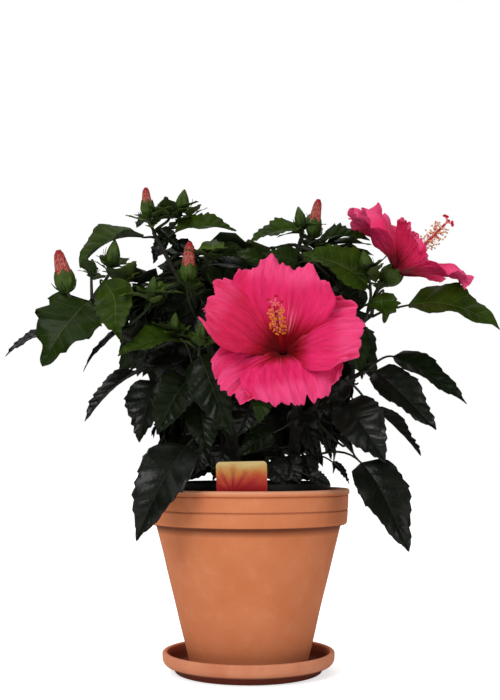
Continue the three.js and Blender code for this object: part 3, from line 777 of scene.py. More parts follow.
def tube_tree():
    """Round stems along edge chains: the thickness comes from the points, and the bark stands out of
    the surface by a noise."""
    labels = {"Sides": "Int", "Relief": "Float", "Relief Scale": "Float", "Bark": "Material"}
    tree, given = new_tree("round_stems", labels)
    line = add_node(tree, "GeometryNodeMeshToCurve", "Curve", {"Mesh": given["Geometry"]})
    thick = add_node(tree, STORED, "Attribute", {"Name": "thick"}, data_type="FLOAT")
    circle = {"Resolution": given["Sides"], "Radius": 1.0}
    ring = add_node(tree, "GeometryNodeCurvePrimitiveCircle", "Curve", circle)
    swept = {"Curve": line, "Profile Curve": ring, "Scale": thick, "Fill Caps": True}
    skin = add_node(tree, "GeometryNodeCurveToMesh", "Mesh", swept)
    place = add_node(tree, "GeometryNodeInputPosition", "Position")
    grain = {"Vector": place, "Scale": given["Relief Scale"], "Detail": 3.0}
    rough = add_node(tree, "ShaderNodeTexNoise", "Fac", grain)
    centred = add_node(tree, "ShaderNodeMath", "Value", [rough, 0.5], operation="SUBTRACT")
    deep = [centred, given["Relief"]]
    height = add_node(tree, "ShaderNodeMath", "Value", deep, operation="MULTIPLY")
    normal = add_node(tree, "GeometryNodeInputNormal", "Normal")
    outwards = {0: normal, "Scale": height}
    offset = add_node(tree, "ShaderNodeVectorMath", "Vector", outwards, operation="SCALE")
    moved = add_node(tree, "GeometryNodeSetPosition", "Geometry", {"Geometry": skin, "Offset": offset})
    smooth = add_node(tree, "GeometryNodeSetShadeSmooth", "Geometry", {"Geometry": moved})
    return end_tree(tree, smooth, [given["Bark"]])


SKIN_LABELS = ("Upper Skin", "Under Skin", "Vein Skin")


def scatter_tree():
    """One small shape set on each point, turned and scaled by the point's own values."""
    labels = {"Shapes": "Collection", **{label: "Material" for label in SKIN_LABELS}}
    tree, given = new_tree("set_on_points", labels)
    whole = {"Collection": given["Shapes"], "Separate Children": True, "Reset Children": True}
    shapes = add_node(tree, "GeometryNodeCollectionInfo", "Instances", whole)
    turn, size, pick = (
        add_node(tree, STORED, "Attribute", {"Name": name}, data_type=kind)
        for name, kind in (("turn", "FLOAT_VECTOR"), ("size", "FLOAT_VECTOR"), ("pick", "INT"))
    )
    rotation = add_node(tree, "FunctionNodeEulerToRotation", "Rotation", {"Euler": turn})
    chosen = {"Instance": shapes, "Pick Instance": True, "Instance Index": pick}
    placed = {"Points": given["Geometry"], "Rotation": rotation, "Scale": size, **chosen}
    instances = add_node(tree, "GeometryNodeInstanceOnPoints", "Instances", placed)
    return end_tree(tree, instances, [given[label] for label in SKIN_LABELS])


def crumb_tree():
    """Loose crumbs thrown over a surface, of mixed sizes."""
    sizes = {"Crumbs Per Area": "Float", "Smallest": "Float", "Largest": "Float"}
    labels = {"Crumb": "Object", **sizes, "Seed": "Int", "Skin": "Material"}
    tree, given = new_tree("crumbs_on_surface", labels)
    thrown = {"Mesh": given["Geometry"], "Density": given["Crumbs Per Area"], "Seed": given["Seed"]}
    points = add_node(tree, "GeometryNodeDistributePointsOnFaces", "Points", thrown)
    crumb = add_node(tree, "GeometryNodeObjectInfo", "Geometry", {"Object": given["Crumb"]})
    sized = {2: given["Smallest"], 3: given["Largest"], "Seed": 3}
    size = add_node(tree, "FunctionNodeRandomValue", 1, sized, data_type="FLOAT")
    turned_by = {0: (0, 0, 0), 1: (math.tau, math.tau, math.tau), "Seed": 4}
    turn = add_node(tree, "FunctionNodeRandomValue", 0, turned_by, data_type="FLOAT_VECTOR")
    rotation = add_node(tree, "FunctionNodeEulerToRotation", "Rotation", {"Euler": turn})
    placed = {"Points": points, "Instance": crumb, "Rotation": rotation, "Scale": size}
    instances = add_node(tree, "GeometryNodeInstanceOnPoints", "Instances", placed)
    return end_tree(tree, instances, [given["Skin"]])


ROUND_STEMS = tube_tree()
SET_ON_POINTS = scatter_tree()
CRUMBS_ON_SURFACE = crumb_tree()


def grow_stems(name, lines, material, sides, relief=0.0, grain=4.0):
    """A mesh of round stems along lines of (points, radii), in millimetres."""
    points, edges, thick = [], [], []
    for line, radii in lines:
        start = len(points)
        points.extend(line)
        thick.extend(float(r) * MM for r in radii)
        edges.extend((start + i, start + i + 1) for i in range(len(line) - 1))
    source = write_mesh(name, points, edges=edges)
    note_on(source, "thick", "FLOAT", "POINT", thick)
    values = {"Sides": sides, "Relief": relief * MM, "Relief Scale": per(grain), "Bark": material}
    return grown(name, source, ROUND_STEMS, values)


def set_on_points(name, shapes, spots, skins):
    """Shapes on spots of (place, turn, size, pick): turn is a matrix, size one number or three."""
    source = write_mesh(name, [spot[0] for spot in spots])
    turns, sizes = [], []
    for _, turn, size, _ in spots:
        turns.extend(Matrix(turn.tolist()).to_euler("XYZ"))
        sizes.extend([size] * 3 if np.isscalar(size) else size)
    note_on(source, "turn", "FLOAT_VECTOR", "POINT", turns)
    note_on(source, "size", "FLOAT_VECTOR", "POINT", sizes)
    note_on(source, "pick", "INT", "POINT", [spot[3] for spot in spots])
    worn = {label: skins[number % len(skins)] for number, label in enumerate(SKIN_LABELS)}
    return grown(name, source, SET_ON_POINTS, {"Shapes": shapes, **worn})


def shape_collection(name, meshes):
    """A hidden collection of small shapes, in the order of their names."""
    collection = bpy.data.collections.new(name)
    for number, mesh in enumerate(meshes):
        collection.objects.link(bpy.data.objects.new(f"{name}_{number:02d}", mesh))
    return collection


def mesh_from(name, work):
    """A bmesh as a mesh."""
    mesh = bpy.data.meshes.new(name)
    work.to_mesh(mesh)
    work.free()
    return mesh


# ---- pots, soil and label

RING_SIDES = 160
ROUNDING = 5  # steps round a rounded corner
LONGEST = 7.0  # the longest straight step of a profile


def rounded_profile(corners):
    """A fine profile of radius and height, with its corners rounded off by their fillets."""
    plan = []
    for i, (radius, height, fillet) in enumerate(corners):
        here = np.array([radius, height], float)
        if fillet == 0 or i in (0, len(corners) - 1):
            plan.append(here)
            continue
        back, ahead = (np.array(corners[i + step][:2], float) - here for step in (-1, 1))
        reach = min(fillet, np.linalg.norm(back) * 0.49, np.linalg.norm(ahead) * 0.49)
        start, end = here + unit(back) * reach, here + unit(ahead) * reach
        for share in np.linspace(0, 1, ROUNDING + 1):
            plan.append((1 - share) ** 2 * start + 2 * share * (1 - share) * here + share**2 * end)
    fine = [plan[0]]
    for point in plan[1:]:
        pieces = max(1, math.ceil(np.linalg.norm(point - fine[-1]) / LONGEST))
        start = fine[-1]
        fine.extend(start + (point - start) * k / pieces for k in range(1, pieces + 1))
    return fine


def turned(name, corners, wobble, seed):
    """A shape turned round the plant's middle, from a profile that starts and ends on the axis."""
    profile = rounded_profile(corners)
    points = [(0, 0, profile[0][1])]
    for radius, height in profile[1:-1]:
        for k in range(RING_SIDES):
            angle = math.tau * k / RING_SIDES
            x, y = math.cos(angle), math.sin(angle)
            hand = noise.noise(Vector((x * 1.4, y * 1.4, height * 0.035 + seed)))
            points.append(((radius + hand * wobble) * x, (radius + hand * wobble) * y, height))
    points.append((0, 0, profile[-1][1]))
    return merged(write_mesh(name, points, wrapped(len(profile) - 2, RING_SIDES)))


def clay_taper(height):
    """How far out the clay pot's wall is at a height."""
    slope = (SHOULDER_RADIUS - POT_FOOT_RADIUS) / (SHOULDER - POT_FOOT)
    return POT_FOOT_RADIUS + slope * (height - POT_FOOT)


def make_pots():
    """The saucer, the clay pot and the nursery pot: corners of (radius, height, fillet), from the
    middle of the foot round the outside and the rim to the middle of the floor."""
    saucer_floor, pot_floor = 6.0, 15.4
    saucer = [
        (0, 0, 0),
        (SAUCER_FOOT - 3, 0, 1),
        (SAUCER_FOOT, 0.6, 1.2),
        (SAUCER_FOOT + 2.4, 5.2, 2.0),
        (SAUCER_RIM - 2.6, 7.2, 2.5),
        (SAUCER_RIM - 0.2, 10.6, 2.0),
        (SAUCER_RIM, SAUCER_TOP, 2.2),
        (SAUCER_RIM - 4.2, SAUCER_TOP, 2.0),
        (SAUCER_RIM - 6.0, saucer_floor + 0.6, 3.0),
        (SAUCER_RIM - 10, saucer_floor, 2.0),
        (0, saucer_floor, 0),
    ]
    lip_foot = POT_TOP - 4.9
    clay_pot = [
        (0, POT_FOOT, 0),
        (POT_FOOT_RADIUS, POT_FOOT, 1.6),
        # the shoulder, and the band with its pressed groove
        (SHOULDER_RADIUS - 0.2, SHOULDER - 1.2, 1.2),
        (SHOULDER_RADIUS + 0.4, SHOULDER + 0.6, 0.6),
        (BAND_RADIUS - 0.3, SHOULDER + 0.8, 2.4),
        (BAND_RADIUS + 0.75, GROOVE - 0.8, 0.5),
        (BAND_RADIUS + 0.1, GROOVE, 0.3),
        (BAND_RADIUS + 0.85, GROOVE + 0.8, 0.5),
        # the rounded lip and the inner wall
        (LIP_RADIUS - 0.9, lip_foot - 0.6, 0.3),
        (LIP_RADIUS - 1.5, lip_foot, 0.2),
        (LIP_RADIUS - 0.1, lip_foot + 0.7, 0.7),
        (LIP_RADIUS, POT_TOP, 2.6),
        (clay_taper(POT_TOP) - CLAY_WALL, POT_TOP, 2.6),
        (clay_taper(pot_floor + 0.6) - CLAY_WALL, pot_floor, 3.0),
        (0, pot_floor, 0),
    ]
    wall, rim_foot = 1.6, NURSERY_TOP - 8
    foot_radius = clay_taper(NURSERY_FOOT) - CLAY_WALL - 0.4
    nursery_pot = [
        (0, NURSERY_FOOT, 0),
        (foot_radius, NURSERY_FOOT, 1.2),
        (NURSERY_WALL, rim_foot, 0.6),
        (NURSERY_RIM, rim_foot, 0.8),
        (NURSERY_RIM, NURSERY_TOP, 0.8),
        (NURSERY_WALL - wall, NURSERY_TOP, 0.7),
        (foot_radius - wall, NURSERY_FOOT + wall, 1.0),
        (0, NURSERY_FOOT + wall, 0),
    ]
    for name, corners, wobble, seed, skin, slot, node in (
        ("saucer_clay", saucer, 0.35, 3.0, SAUCER_CLAY, "terracotta", "saucer"),
        ("pot_clay", clay_pot, 0.4, 8.0, CLAY, "terracotta", "terracotta_pot"),
        ("pot_nursery", nursery_pot, 0.15, 5.0, PLASTIC, "black_plastic", "nursery_pot"),
    ):
        place_piece(name, turned(name, corners, wobble, seed), [skin], slot, [node])


def make_soil():
    """The compost: a closed plug with an uneven, crumbly top that sinks towards its edge."""
    low, high = box_of("soil")
    radius, rings = high[0] - 0.3, 34
    points = [(0, 0, 0)]
    for share in (ring / rings for ring in range(1, rings + 1)):
        for k in range(RING_SIDES):
            angle = math.tau * k / RING_SIDES
            x, y = radius * share * math.cos(angle), radius * share * math.sin(angle)
            hill = noise.noise(Vector((x * 0.06, y * 0.06, 2.0))) * 1.6
            clod = noise.noise(Vector((x * 0.35, y * 0.35, 7.0))) * 0.9
            sunk = 1.4 + 32 * max(0, share - 0.9) * share
            points.append((x, y, high[2] - sunk + min(hill + clod, 1.3)))
    points[0] = (0, 0, sum(point[2] for point in points[1 : RING_SIDES + 1]) / RING_SIDES)
    foot_radius = clay_taper(NURSERY_FOOT) - CLAY_WALL - 2.6
    for k in range(RING_SIDES):
        angle = math.tau * k / RING_SIDES
        points.append((foot_radius * math.cos(angle), foot_radius * math.sin(angle), low[2]))
    points.append((0, 0, low[2]))
    return merged(write_mesh("soil_plug", points, wrapped(rings + 1, RING_SIDES)))


def make_crumbs(soil):
    """Clods of compost thrown over the top of the soil."""
    top = bmesh.new()
    top.from_mesh(soil)
    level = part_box("soil")[1].z - 9 * MM
    under = [face for face in top.faces if face.calc_center_median().z < level]
    bmesh.ops.delete(top, geom=under, context="FACES")
    ball = bmesh.new()
    bmesh.ops.create_icosphere(ball, subdivisions=1, radius=1.0)
    for vertex in ball.verts:
        vertex.co *= 1 + 0.35 * noise.noise(vertex.co * 1.7)
        vertex.co.z *= 0.7
    values = {
        "Crumb": bpy.data.objects.new("clod", mesh_from("clod", ball)),
        "Crumbs Per Area": 90000.0,
        "Smallest": 0.6 * MM,
        "Largest": 2.0 * MM,
        "Seed": 5,
        "Skin": CRUMBS,
    }
    return grown("soil_crumbs", mesh_from("soil_top", top), CRUMBS_ON_SURFACE, values)


make_pots()
soil_mesh = make_soil()
crumb_mesh = make_crumbs(soil_mesh)
place_piece("compost", soil_mesh, [SOIL], "potting_soil", ["soil"])
place_piece("compost_crumbs", crumb_mesh, None, "potting_soil")

LABEL_LOW, LABEL_HIGH = box_of("plant_label")
LABEL_PRINT = printed_card(LABEL_HIGH[2] - 28, LABEL_HIGH[2], (-12, LABEL_LOW[1], 152))
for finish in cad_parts["plant_label"].material_slots:
    finish.material = LABEL_PRINT


# ---- stems, boughs


def with_nodes(line, radii, spacing=17.0, swell=0.16):
    """A smooth run of points with the slight swelling that a shrub has at each leaf scar."""
    travel = np.concatenate([[0], np.cumsum(np.linalg.norm(np.diff(line, axis=0), axis=1))])
    even = np.linspace(0, travel[-1], max(8, int(travel[-1] / 2.2)))
    fine = np.stack([np.interp(even, travel, line[:, k]) for k in range(3)], 1)
    thick = np.interp(even, travel, radii)
    for knot in np.arange(spacing * 0.6, travel[-1], spacing):
        thick = thick * (1 + swell * np.exp(-(((even - knot) / 1.5) ** 2)))
    return fine, thick


LIMB_LINES = {node: limb_line(node) for node in STEMS + BOUGHS}
LIMB_POINTS = np.concatenate([line for line, _ in LIMB_LINES.values()])
LIMB_SURFACE = search_tree(STEMS + BOUGHS)


def limb_near(point):
    """The point on the middle of a limb that is nearest to a point."""
    return LIMB_POINTS[int(np.argmin(np.linalg.norm(LIMB_POINTS - point, axis=1)))]


def make_limbs():
    """Stems and boughs. The foot of each runs on a little way into what it grows from."""
    lines = []
    for node, (line, radii) in LIMB_LINES.items():
        into, flare = (4.0, 1.0) if node in BOUGHS else (2.0, 1.05)
        foot = line[0] - unit(line[1] - line[0]) * into
        radii = np.concatenate([[radii[0] * flare], radii])
        lines.append(with_nodes(np.concatenate([[foot], line]), np.maximum(radii * 1.02, 1.0)))
    return grow_stems("limbs", lines, BARK_IN_PAINTED_SHADE, sides=14, relief=0.5, grain=3.6)


place_piece("stems_and_boughs", make_limbs(), None, "bark", STEMS + BOUGHS)


# ---- leaves

UPPER, UNDER, VEIN = 0, 1, 2
SLANT = 0.17  # how far forward, in leaf lengths, a side vein runs before it meets the margin
VEIN_WIDTH = 0.0055  # in leaf lengths
LEAF_THICKNESS, SMALL_LEAF_THICKNESS = 0.45, 0.4


def leaf_rows(between):
    """Stations along a leaf: narrow ones on the side veins and even ones between them."""
    rows, vein = [0.0], []
    for k in range(VEINS):
        end = (k + 1) / VEINS
        low = k / VEINS + (VEIN_WIDTH if k else 0)
        rows += [low + (end - low) * step / between for step in range(1, between + 1)]
        vein += [False] * between
        if k < VEINS - 1:
            rows.append(end + VEIN_WIDTH)
            vein.append(True)
    return rows, vein


def leaf_shell(shape, rows, vein_rows, columns, margin, quilt, wave, thickness, dice):
    """A leaf as a thin closed shell: its rows slant forward along the side veins, its margin is
    toothed, its blade is quilted between the veins and waves towards the margin."""
    middle, up, taper = shape["middle"], shape["up"], shape["taper"]
    teeth, tooth = margin
    phase = dice.uniform(0, math.tau)
    turns = dice.uniform(1.6, 2.6)
    notch = [dice.uniform(0.25, 1.35) for _ in range(4 * teeth + 8)]

    def reach_at(along, side, right_side):
        """How far out from the midrib a point lies, with the teeth cut into the margin."""
        spread = leaf_width(min(along, 1.0), taper) * shape["half"]
        saw = along * teeth - math.floor(along * teeth)
        cut = tooth * notch[int(along * teeth) + (2 * teeth if right_side else 0)]
        cut *= smooth_step(0.1, 0.28, along) * (1 - 0.55 * smooth_step(0.8, 1.0, along))
        reach = spread + cut * (saw - 0.62) * smooth_step(0.6, 1.0, side)
        return max(reach, 0.0) if spread >= 1e-3 else 0.0

    def lift_at(v, along, side, right_side):
        """How far a point stands up from the flat blade."""
        panel = math.sin(math.pi * (v * VEINS % 1)) * math.sin(math.pi * min(side * 0.92 + 0.06, 1))
        swing = math.sin(math.tau * turns * along + phase + (1.3 if right_side else 0))
        lift = quilt * (panel - 0.5 * math.exp(-((side / 0.05) ** 2))) + wave * side**2.2 * swing
        return lift * smooth_step(0, 0.08, along) * smooth_step(1, 0.93, along)

    grid, uvs = [], []
    for v in rows:
        slant = SLANT * math.sin(math.pi * v**0.8) if 0 < v < 1 else 0.0
        line = []
        for s in columns:
            side = abs(s)
            along = min(v + slant * side**0.85, 1.0) if v < 1 else 1.0
            way = shape["right" if s > 0 else "left"](along)
            out = way * reach_at(along, side, s > 0) * side
            line.append(middle(along) + out + up * lift_at(v, along, side, s > 0))
        grid.append(line)
        uvs.append([(0.5 + s / 2, v) for s in columns])
    grid = np.array(grid)
    normals = grid_normals(grid, up)
    normals[0], normals[-1] = normals[1].mean(0), normals[-2].mean(0)
    grid[0], grid[-1] = grid[0].mean(0), grid[-1].mean(0)

    def mark_of(row, column):
        farther = max(abs(columns[column]), abs(columns[column + 1]))
        return VEIN if farther < 0.1 or (vein_rows[row] and farther < 0.9) else UPPER

    return closed_shell(grid, grid - normals * thickness, uvs, mark_of, UNDER)


def stalk_line(root, base, heading):
    """The centre line of a leaf stalk, which leaves its twig, sags and turns into the midrib."""
    reach = np.linalg.norm(base - root)
    start = root + unit(base - root + UP * reach * 0.25) * reach * 0.4
    return path(root, start, base - heading * reach * 0.35, base, 11)


COLUMNS = [-1, -0.93, -0.8, -0.6, -0.4, -0.2, -0.019, 0, 0.019, 0.2, 0.4, 0.6, 0.8, 0.93, 1]
QUILTING = 0.8  # how far a blade stands up between its side veins
WAVING = 0.09  # how far its margin waves, in half widths
MARGIN = (9, 2.6)  # how many teeth on each side of a leaf, and how deep in millimetres
LOBED = {  # the same for the leaves with coarser margins
    "spray_right_small": (5, 4.5),
    "spray_left_bright": (7, 4.0),
    "spray_right_bright": (8, 5.0),
    "spray_top_left": (9, 3.6),
    "spray_top_centre": (8, 4.4),
    "spray_top_right": (8, 4.4),
    "spray_front_left": (8, 3.6),
}
SPRAYS_BY_TONE = {
    "sunlit": "left_bright left_arch left_ledge top_left top_centre right_bright right_small far_right",
    "green": "far_left top_right back_left back_right",
    "deep": "front_left front_low front_mid right_upper",
    "shade": "left_dart lower_left_dart lower_left over_rim "
    "right_middle right_narrow right_broad right_low",
}
TONES = {f"spray_{name}": tone for tone, names in SPRAYS_BY_TONE.items() for name in names.split()}
TWO_BLADES = ("spray_far_left", "spray_left_dart")  # drawn as single leaves among the named ones
# how much broader than its solid a leaf is drawn, and how finely it tapers
BROADER = {"spray_left_arch": (1.25, 0.75), "spray_top_left": (1.1, 0.85)}
LEANS_BACK = {"spray_front_left": (-1.0, 13.0, 1.0)}  # room for the petals in front of it


def shifted(middle, step):
    """A midrib moved by a step."""
    return lambda v: middle(v) + np.array(step)


def place_leaves(name, shells, tone, nodes=()):
    """Leaf shells of one tone as a piece."""
    mesh = merged(write_mesh("leaves", *join_shells(shells)))
    place_piece(name, mesh, LEAF_SKINS[tone], "foliage", nodes)


def make_outer_leaves():
    """The big leaves that make the crown's outline, one for each outer spray, with their stalks."""
    by_tone = {tone: [] for tone in LEAF_TONES}
    stalks = []
    rows, vein_rows = leaf_rows(5)
    for number, node in enumerate(SPRAYS):
        if node in TWO_BLADES:
            continue
        shape = blade_shape(node)
        stretch, shape["taper"] = BROADER.get(node, (1.0, shape["taper"]))
        shape["half"] *= stretch
        shape["middle"] = shifted(shape["middle"], LEANS_BACK.get(node, (0, 0, 0)))
        form = (LOBED.get(node, MARGIN), QUILTING, shape["half"] * WAVING, LEAF_THICKNESS)
        shell = leaf_shell(shape, rows, vein_rows, COLUMNS, *form, random.Random(40 + number))
        by_tone[TONES[node]].append(shell)
        base = shape["middle"](0.0)
        heading = unit(shape["middle"](0.08) - base)
        line = stalk_line(shape["root"], base + heading * 1.5, heading)
        stalks.append((line, np.linspace(1.15, 0.8, len(line))))
    for tone, shells in by_tone.items():
        if shells:
            nodes = [node for node in SPRAYS if TONES[node] == tone]
            place_leaves(f"leaves_outer_{tone}", shells, tone, nodes)
    mesh = grow_stems("stalks_outer", stalks, STALK, sides=8)
    place_piece("stalks_outer", mesh, None, "foliage")


make_outer_leaves()


# ---- inner foliage and twigs

SAMPLE_LEAF = 50.0  # the length that the small leaf shapes are drawn at
SAMPLE_ROWS = 7
SAMPLE_MARGIN = (5, 3.2)
LEAF_KINDS = 8


def leaf_plan(middle, across, up, fold, half, taper):
    """The shape of a leaf whose two half blades fold up from its midrib."""
    raised = up * math.sin(fold)
    left, right = (across * sign * math.cos(fold) + raised for sign in (-1, 1))
    return {
        "middle": middle,
        "left": lambda v: left,
        "right": lambda v: right,
        "half": half,
        "up": up,
        "taper": taper,
    }


def small_leaf(number):
    """One leaf shape for twigs and shoots, drawn at the origin: it points along Y and faces up."""
    dice = random.Random(700 + number)
    droop = dice.uniform(0.04, 0.34)
    swing = dice.uniform(-0.12, 0.12)
    fold = math.radians(dice.uniform(6, 24))

    def middle(v):
        return SAMPLE_LEAF * np.array([swing * v * v, v - 0.1 * v * v, -droop * v**2])

    half = SAMPLE_LEAF * dice.uniform(0.27, 0.35)
    shape = leaf_plan(middle, np.array([1.0, 0, 0]), UP, fold, half, dice.uniform(0.95, 1.2))
    rows = [k / SAMPLE_ROWS for k in range(SAMPLE_ROWS + 1)]
    columns = [-1, -0.55, -0.05, 0.05, 0.55, 1]
    form = (SAMPLE_MARGIN, 0.0, 1.6, SMALL_LEAF_THICKNESS)
    shell = leaf_shell(shape, rows, [False] * SAMPLE_ROWS, columns, *form, dice)
    mesh = merged(write_mesh("leaf", *shell))
    note_on(mesh, "part", "INT", "FACE", [face.material_index for face in mesh.polygons])
    return mesh


LEAF_SHAPES = shape_collection("leaf_shape", [small_leaf(k) for k in range(LEAF_KINDS)])
CROWN = search_tree(MASSES)
CROWN_MARGIN = 10.0


def depth_outside(point):
    """How far a point lies outside the masses of foliage, in millimetres; less than 0 inside."""
    place, normal, _, apart = CROWN.find_nearest(Vector(point))
    return -apart if (Vector(point) - place).dot(normal) < 0 else apart


def bud_place(node):
    """Base, tip and fattest radius of a bud's spindle, from level cuts down through its solid."""
    triangles = cad_triangles(node)
    corners = triangles.reshape(-1, 3)
    tip = corners[corners[:, 2].argmax()]
    base, fattest = tip, 0.0
    for level in np.arange(tip[2] - 0.5, corners[:, 2].min() + 0.3, -0.75):
        cut = crossing(triangles, UP, level)
        if len(cut) < 3:
            continue
        centre = cut.mean(0)
        radius = float(np.median(np.linalg.norm(cut - centre, axis=1)))
        if fattest > 4 and radius < 0.42 * fattest:
            break
        base, fattest = centre, max(fattest, radius)
    return base, tip, fattest


BLOOM_LOW, BLOOM_HIGH = box_of("bloom_front")
BLOOM_MIDDLE = (BLOOM_LOW + BLOOM_HIGH) / 2
SIDE_MIDDLE = sum(box_of("bloom_side")) / 2
FACE_WIDTH, FACE_HEIGHT = 66, 62  # half the space that stays clear in front of the front bloom
SIDE_SPACE = np.array([44, 40, 34])  # half the space that stays clear round the side bloom


def keeps_clear(point):
    """True if a point neither hides the front bloom or the label nor runs into the side bloom."""
    x, y, z = point
    across, up = (x - BLOOM_MIDDLE[0]) / FACE_WIDTH, (z - BLOOM_MIDDLE[2]) / FACE_HEIGHT
    if across**2 + up**2 < 1 and y < BLOOM_HIGH[1] - 2:
        return False
    if LABEL_LOW[0] - 4 < x < LABEL_HIGH[0] + 4 and y < LABEL_HIGH[1] + 6 and z < LABEL_HIGH[2] + 3:
        return False
    near_side = np.linalg.norm((point - SIDE_MIDDLE) / SIDE_SPACE) < 1
    return not near_side and z > POT_TOP + 6


def turn_to(heading, up):
    """The turn that brings a shape from pointing along Y and facing Z to heading and up."""
    right = unit(np.cross(heading, up))
    return np.stack([right, heading, np.cross(right, heading)], axis=1)


# the leaf tones go from painted light high in the crown to painted shade low down
SUNLIT_FROM, GREEN_FROM, DEEP_FROM = 338, 296, 250  # heights where the leaves change tone
TONE_SPREAD = 16


def tone_at(height, dice):
    """A leaf's tone: painted light at the crown's top, a painted shade nearly black low down."""
    level = height + dice.gauss(0, TONE_SPREAD)
    if level > SUNLIT_FROM:
        return "sunlit" if dice.random() < 0.6 else "green"
    if level > GREEN_FROM:
        return "green" if dice.random() < 0.55 else "deep"
    return "deep" if level > DEEP_FROM else "shade"


TARGET_TRIES = 14


def spread_targets(centre, half, count, dice):
    """Points well apart inside an ellipsoid, each the best of several tries."""
    chosen = []
    for _ in range(count):
        best, best_gap = None, -1.0
        for _ in range(TARGET_TRIES):
            way = unit(np.array([dice.gauss(0, 1) for _ in range(3)]))
            point = centre + way * half * dice.uniform(0.45, 0.85)
            gap = min([np.linalg.norm(point - other) for other in chosen], default=50)
            if gap > best_gap:
                best, best_gap = point, gap
        chosen.append(best)
    return chosen


LEAF_GAP = 8  # the middles of two leaves of a twig are at least this far apart


class Foliage:
    """Twigs, stalks and leaf spots, gathered from shoots and masses before they are made."""

    def __init__(self):
        self.twigs, self.stalks, self.placed = [], [], []
        self.spots = {tone: [] for tone in LEAF_TONES}

    def leaf(self, joint, base, heading, up, length, tone, dice, width, stalk):
        """Adds a leaf and the stalk that holds it on a joint of its twig."""
        size = length / SAMPLE_LEAF
        spot = (base, turn_to(heading, up), (size * width, size, size), dice.randrange(LEAF_KINDS))
        self.spots[tone].append(spot)
        line = stalk_line(joint, base + heading, heading)
        self.stalks.append((line, np.linspace(stalk, stalk * 0.7, len(line))))

    def fits(self, base, heading, length):
        """True if there is room for a leaf, which is then taken."""
        for share in (0.0, 0.5, 1.0):
            point = base + heading * length * share
            if not keeps_clear(point) or depth_outside(point) > CROWN_MARGIN * (0.6 + 0.6 * share):
                return False
        middle = base + heading * length * 0.5
        if any(np.linalg.norm(middle - other) < LEAF_GAP for other in self.placed):
            return False
        self.placed.append(middle)
        return True


CROWN_TOP, CROWN_FOOT = 350, 215  # a leaf hangs more the lower it is between these heights


def leaf_way(point, twig_way, angle, dice):
    """Which way a leaf heads and faces: out from the crown, down with its weight, face to the light."""
    outward = unit(np.array([point[0], point[1] * 1.15, 0.0]) + 1e-3)
    side = unit(np.cross(twig_way, UP) + 1e-3)
    sideways = around((side, np.cross(side, twig_way)), angle)
    low = smooth_step(CROWN_TOP, CROWN_FOOT, point[2])
    droop = 0.5 + 0.55 * low + dice.uniform(-0.2, 0.25)
    heading = unit(outward * 0.65 + sideways * 0.8 + twig_way * 0.3 - UP * droop)
    return heading, unit(UP * (0.6 - 0.15 * low) + outward * (0.95 + 0.2 * low) + sideways * 0.2)


SPACE_PER_TWIG = 12000  # cubic millimetres of a mass
FEWEST_TWIGS, MOST_TWIGS = 5, 13
TWIG_STEPS = 14
LEAF_TRIES = 5


def grow_mass(node, foliage):
    """Fills the place of one mass of foliage with twigs and leaves that grow on from its limb."""
    dice = random.Random(sum(ord(c) for c in node) * 7 + 3)
    low, high = box_of(node)
    centre, half = (low + high) / 2, (high - low) / 2
    space = 4.19 * half.prod()  # of an ellipsoid
    count = int(np.clip(round(space / SPACE_PER_TWIG), FEWEST_TWIGS, MOST_TWIGS))
    root = limb_near(centre)
    for target in spread_targets(centre, half, count, dice):
        start = limb_near(0.6 * root + 0.4 * target)
        span = np.linalg.norm(target - start)
        bend = np.array([dice.uniform(-1, 1), dice.uniform(-1, 1), dice.uniform(0.2, 1.2)])
        knee = start + (target - start) * 0.35 + bend * span * 0.16
        line = path(start, knee, target - UP * span * 0.12, target, TWIG_STEPS + 1)
        radii = np.linspace(1.5, 0.8, TWIG_STEPS + 1)
        foliage.twigs.append(with_nodes(line, radii, spacing=12.0, swell=0.22))
        angle = dice.uniform(0, math.tau)
        travel = max(0.22 * span, 6)
        while travel <= span:
            step = int(travel / span * TWIG_STEPS)
            joint = line[min(step, TWIG_STEPS)]
            ahead = unit(line[min(step + 1, TWIG_STEPS)] - line[max(step - 1, 0)])
            for _ in range(LEAF_TRIES):
                heading, up = leaf_way(joint, ahead, angle, dice)
                length = dice.uniform(40, 60) * (1.1 if joint[2] < 270 else 0.92)
                base = joint + unit(heading + UP * 0.5) * dice.uniform(6, 17)
                if foliage.fits(base, heading, length):
                    tone = tone_at(base[2], dice)
                    width = dice.uniform(0.9, 1.2)
                    foliage.leaf(joint, base, heading, up, length, tone, dice, width, 0.85)
                    break
                angle += GOLDEN_ANGLE * 0.5
            angle += GOLDEN_ANGLE
            travel += dice.uniform(5, 7.5)


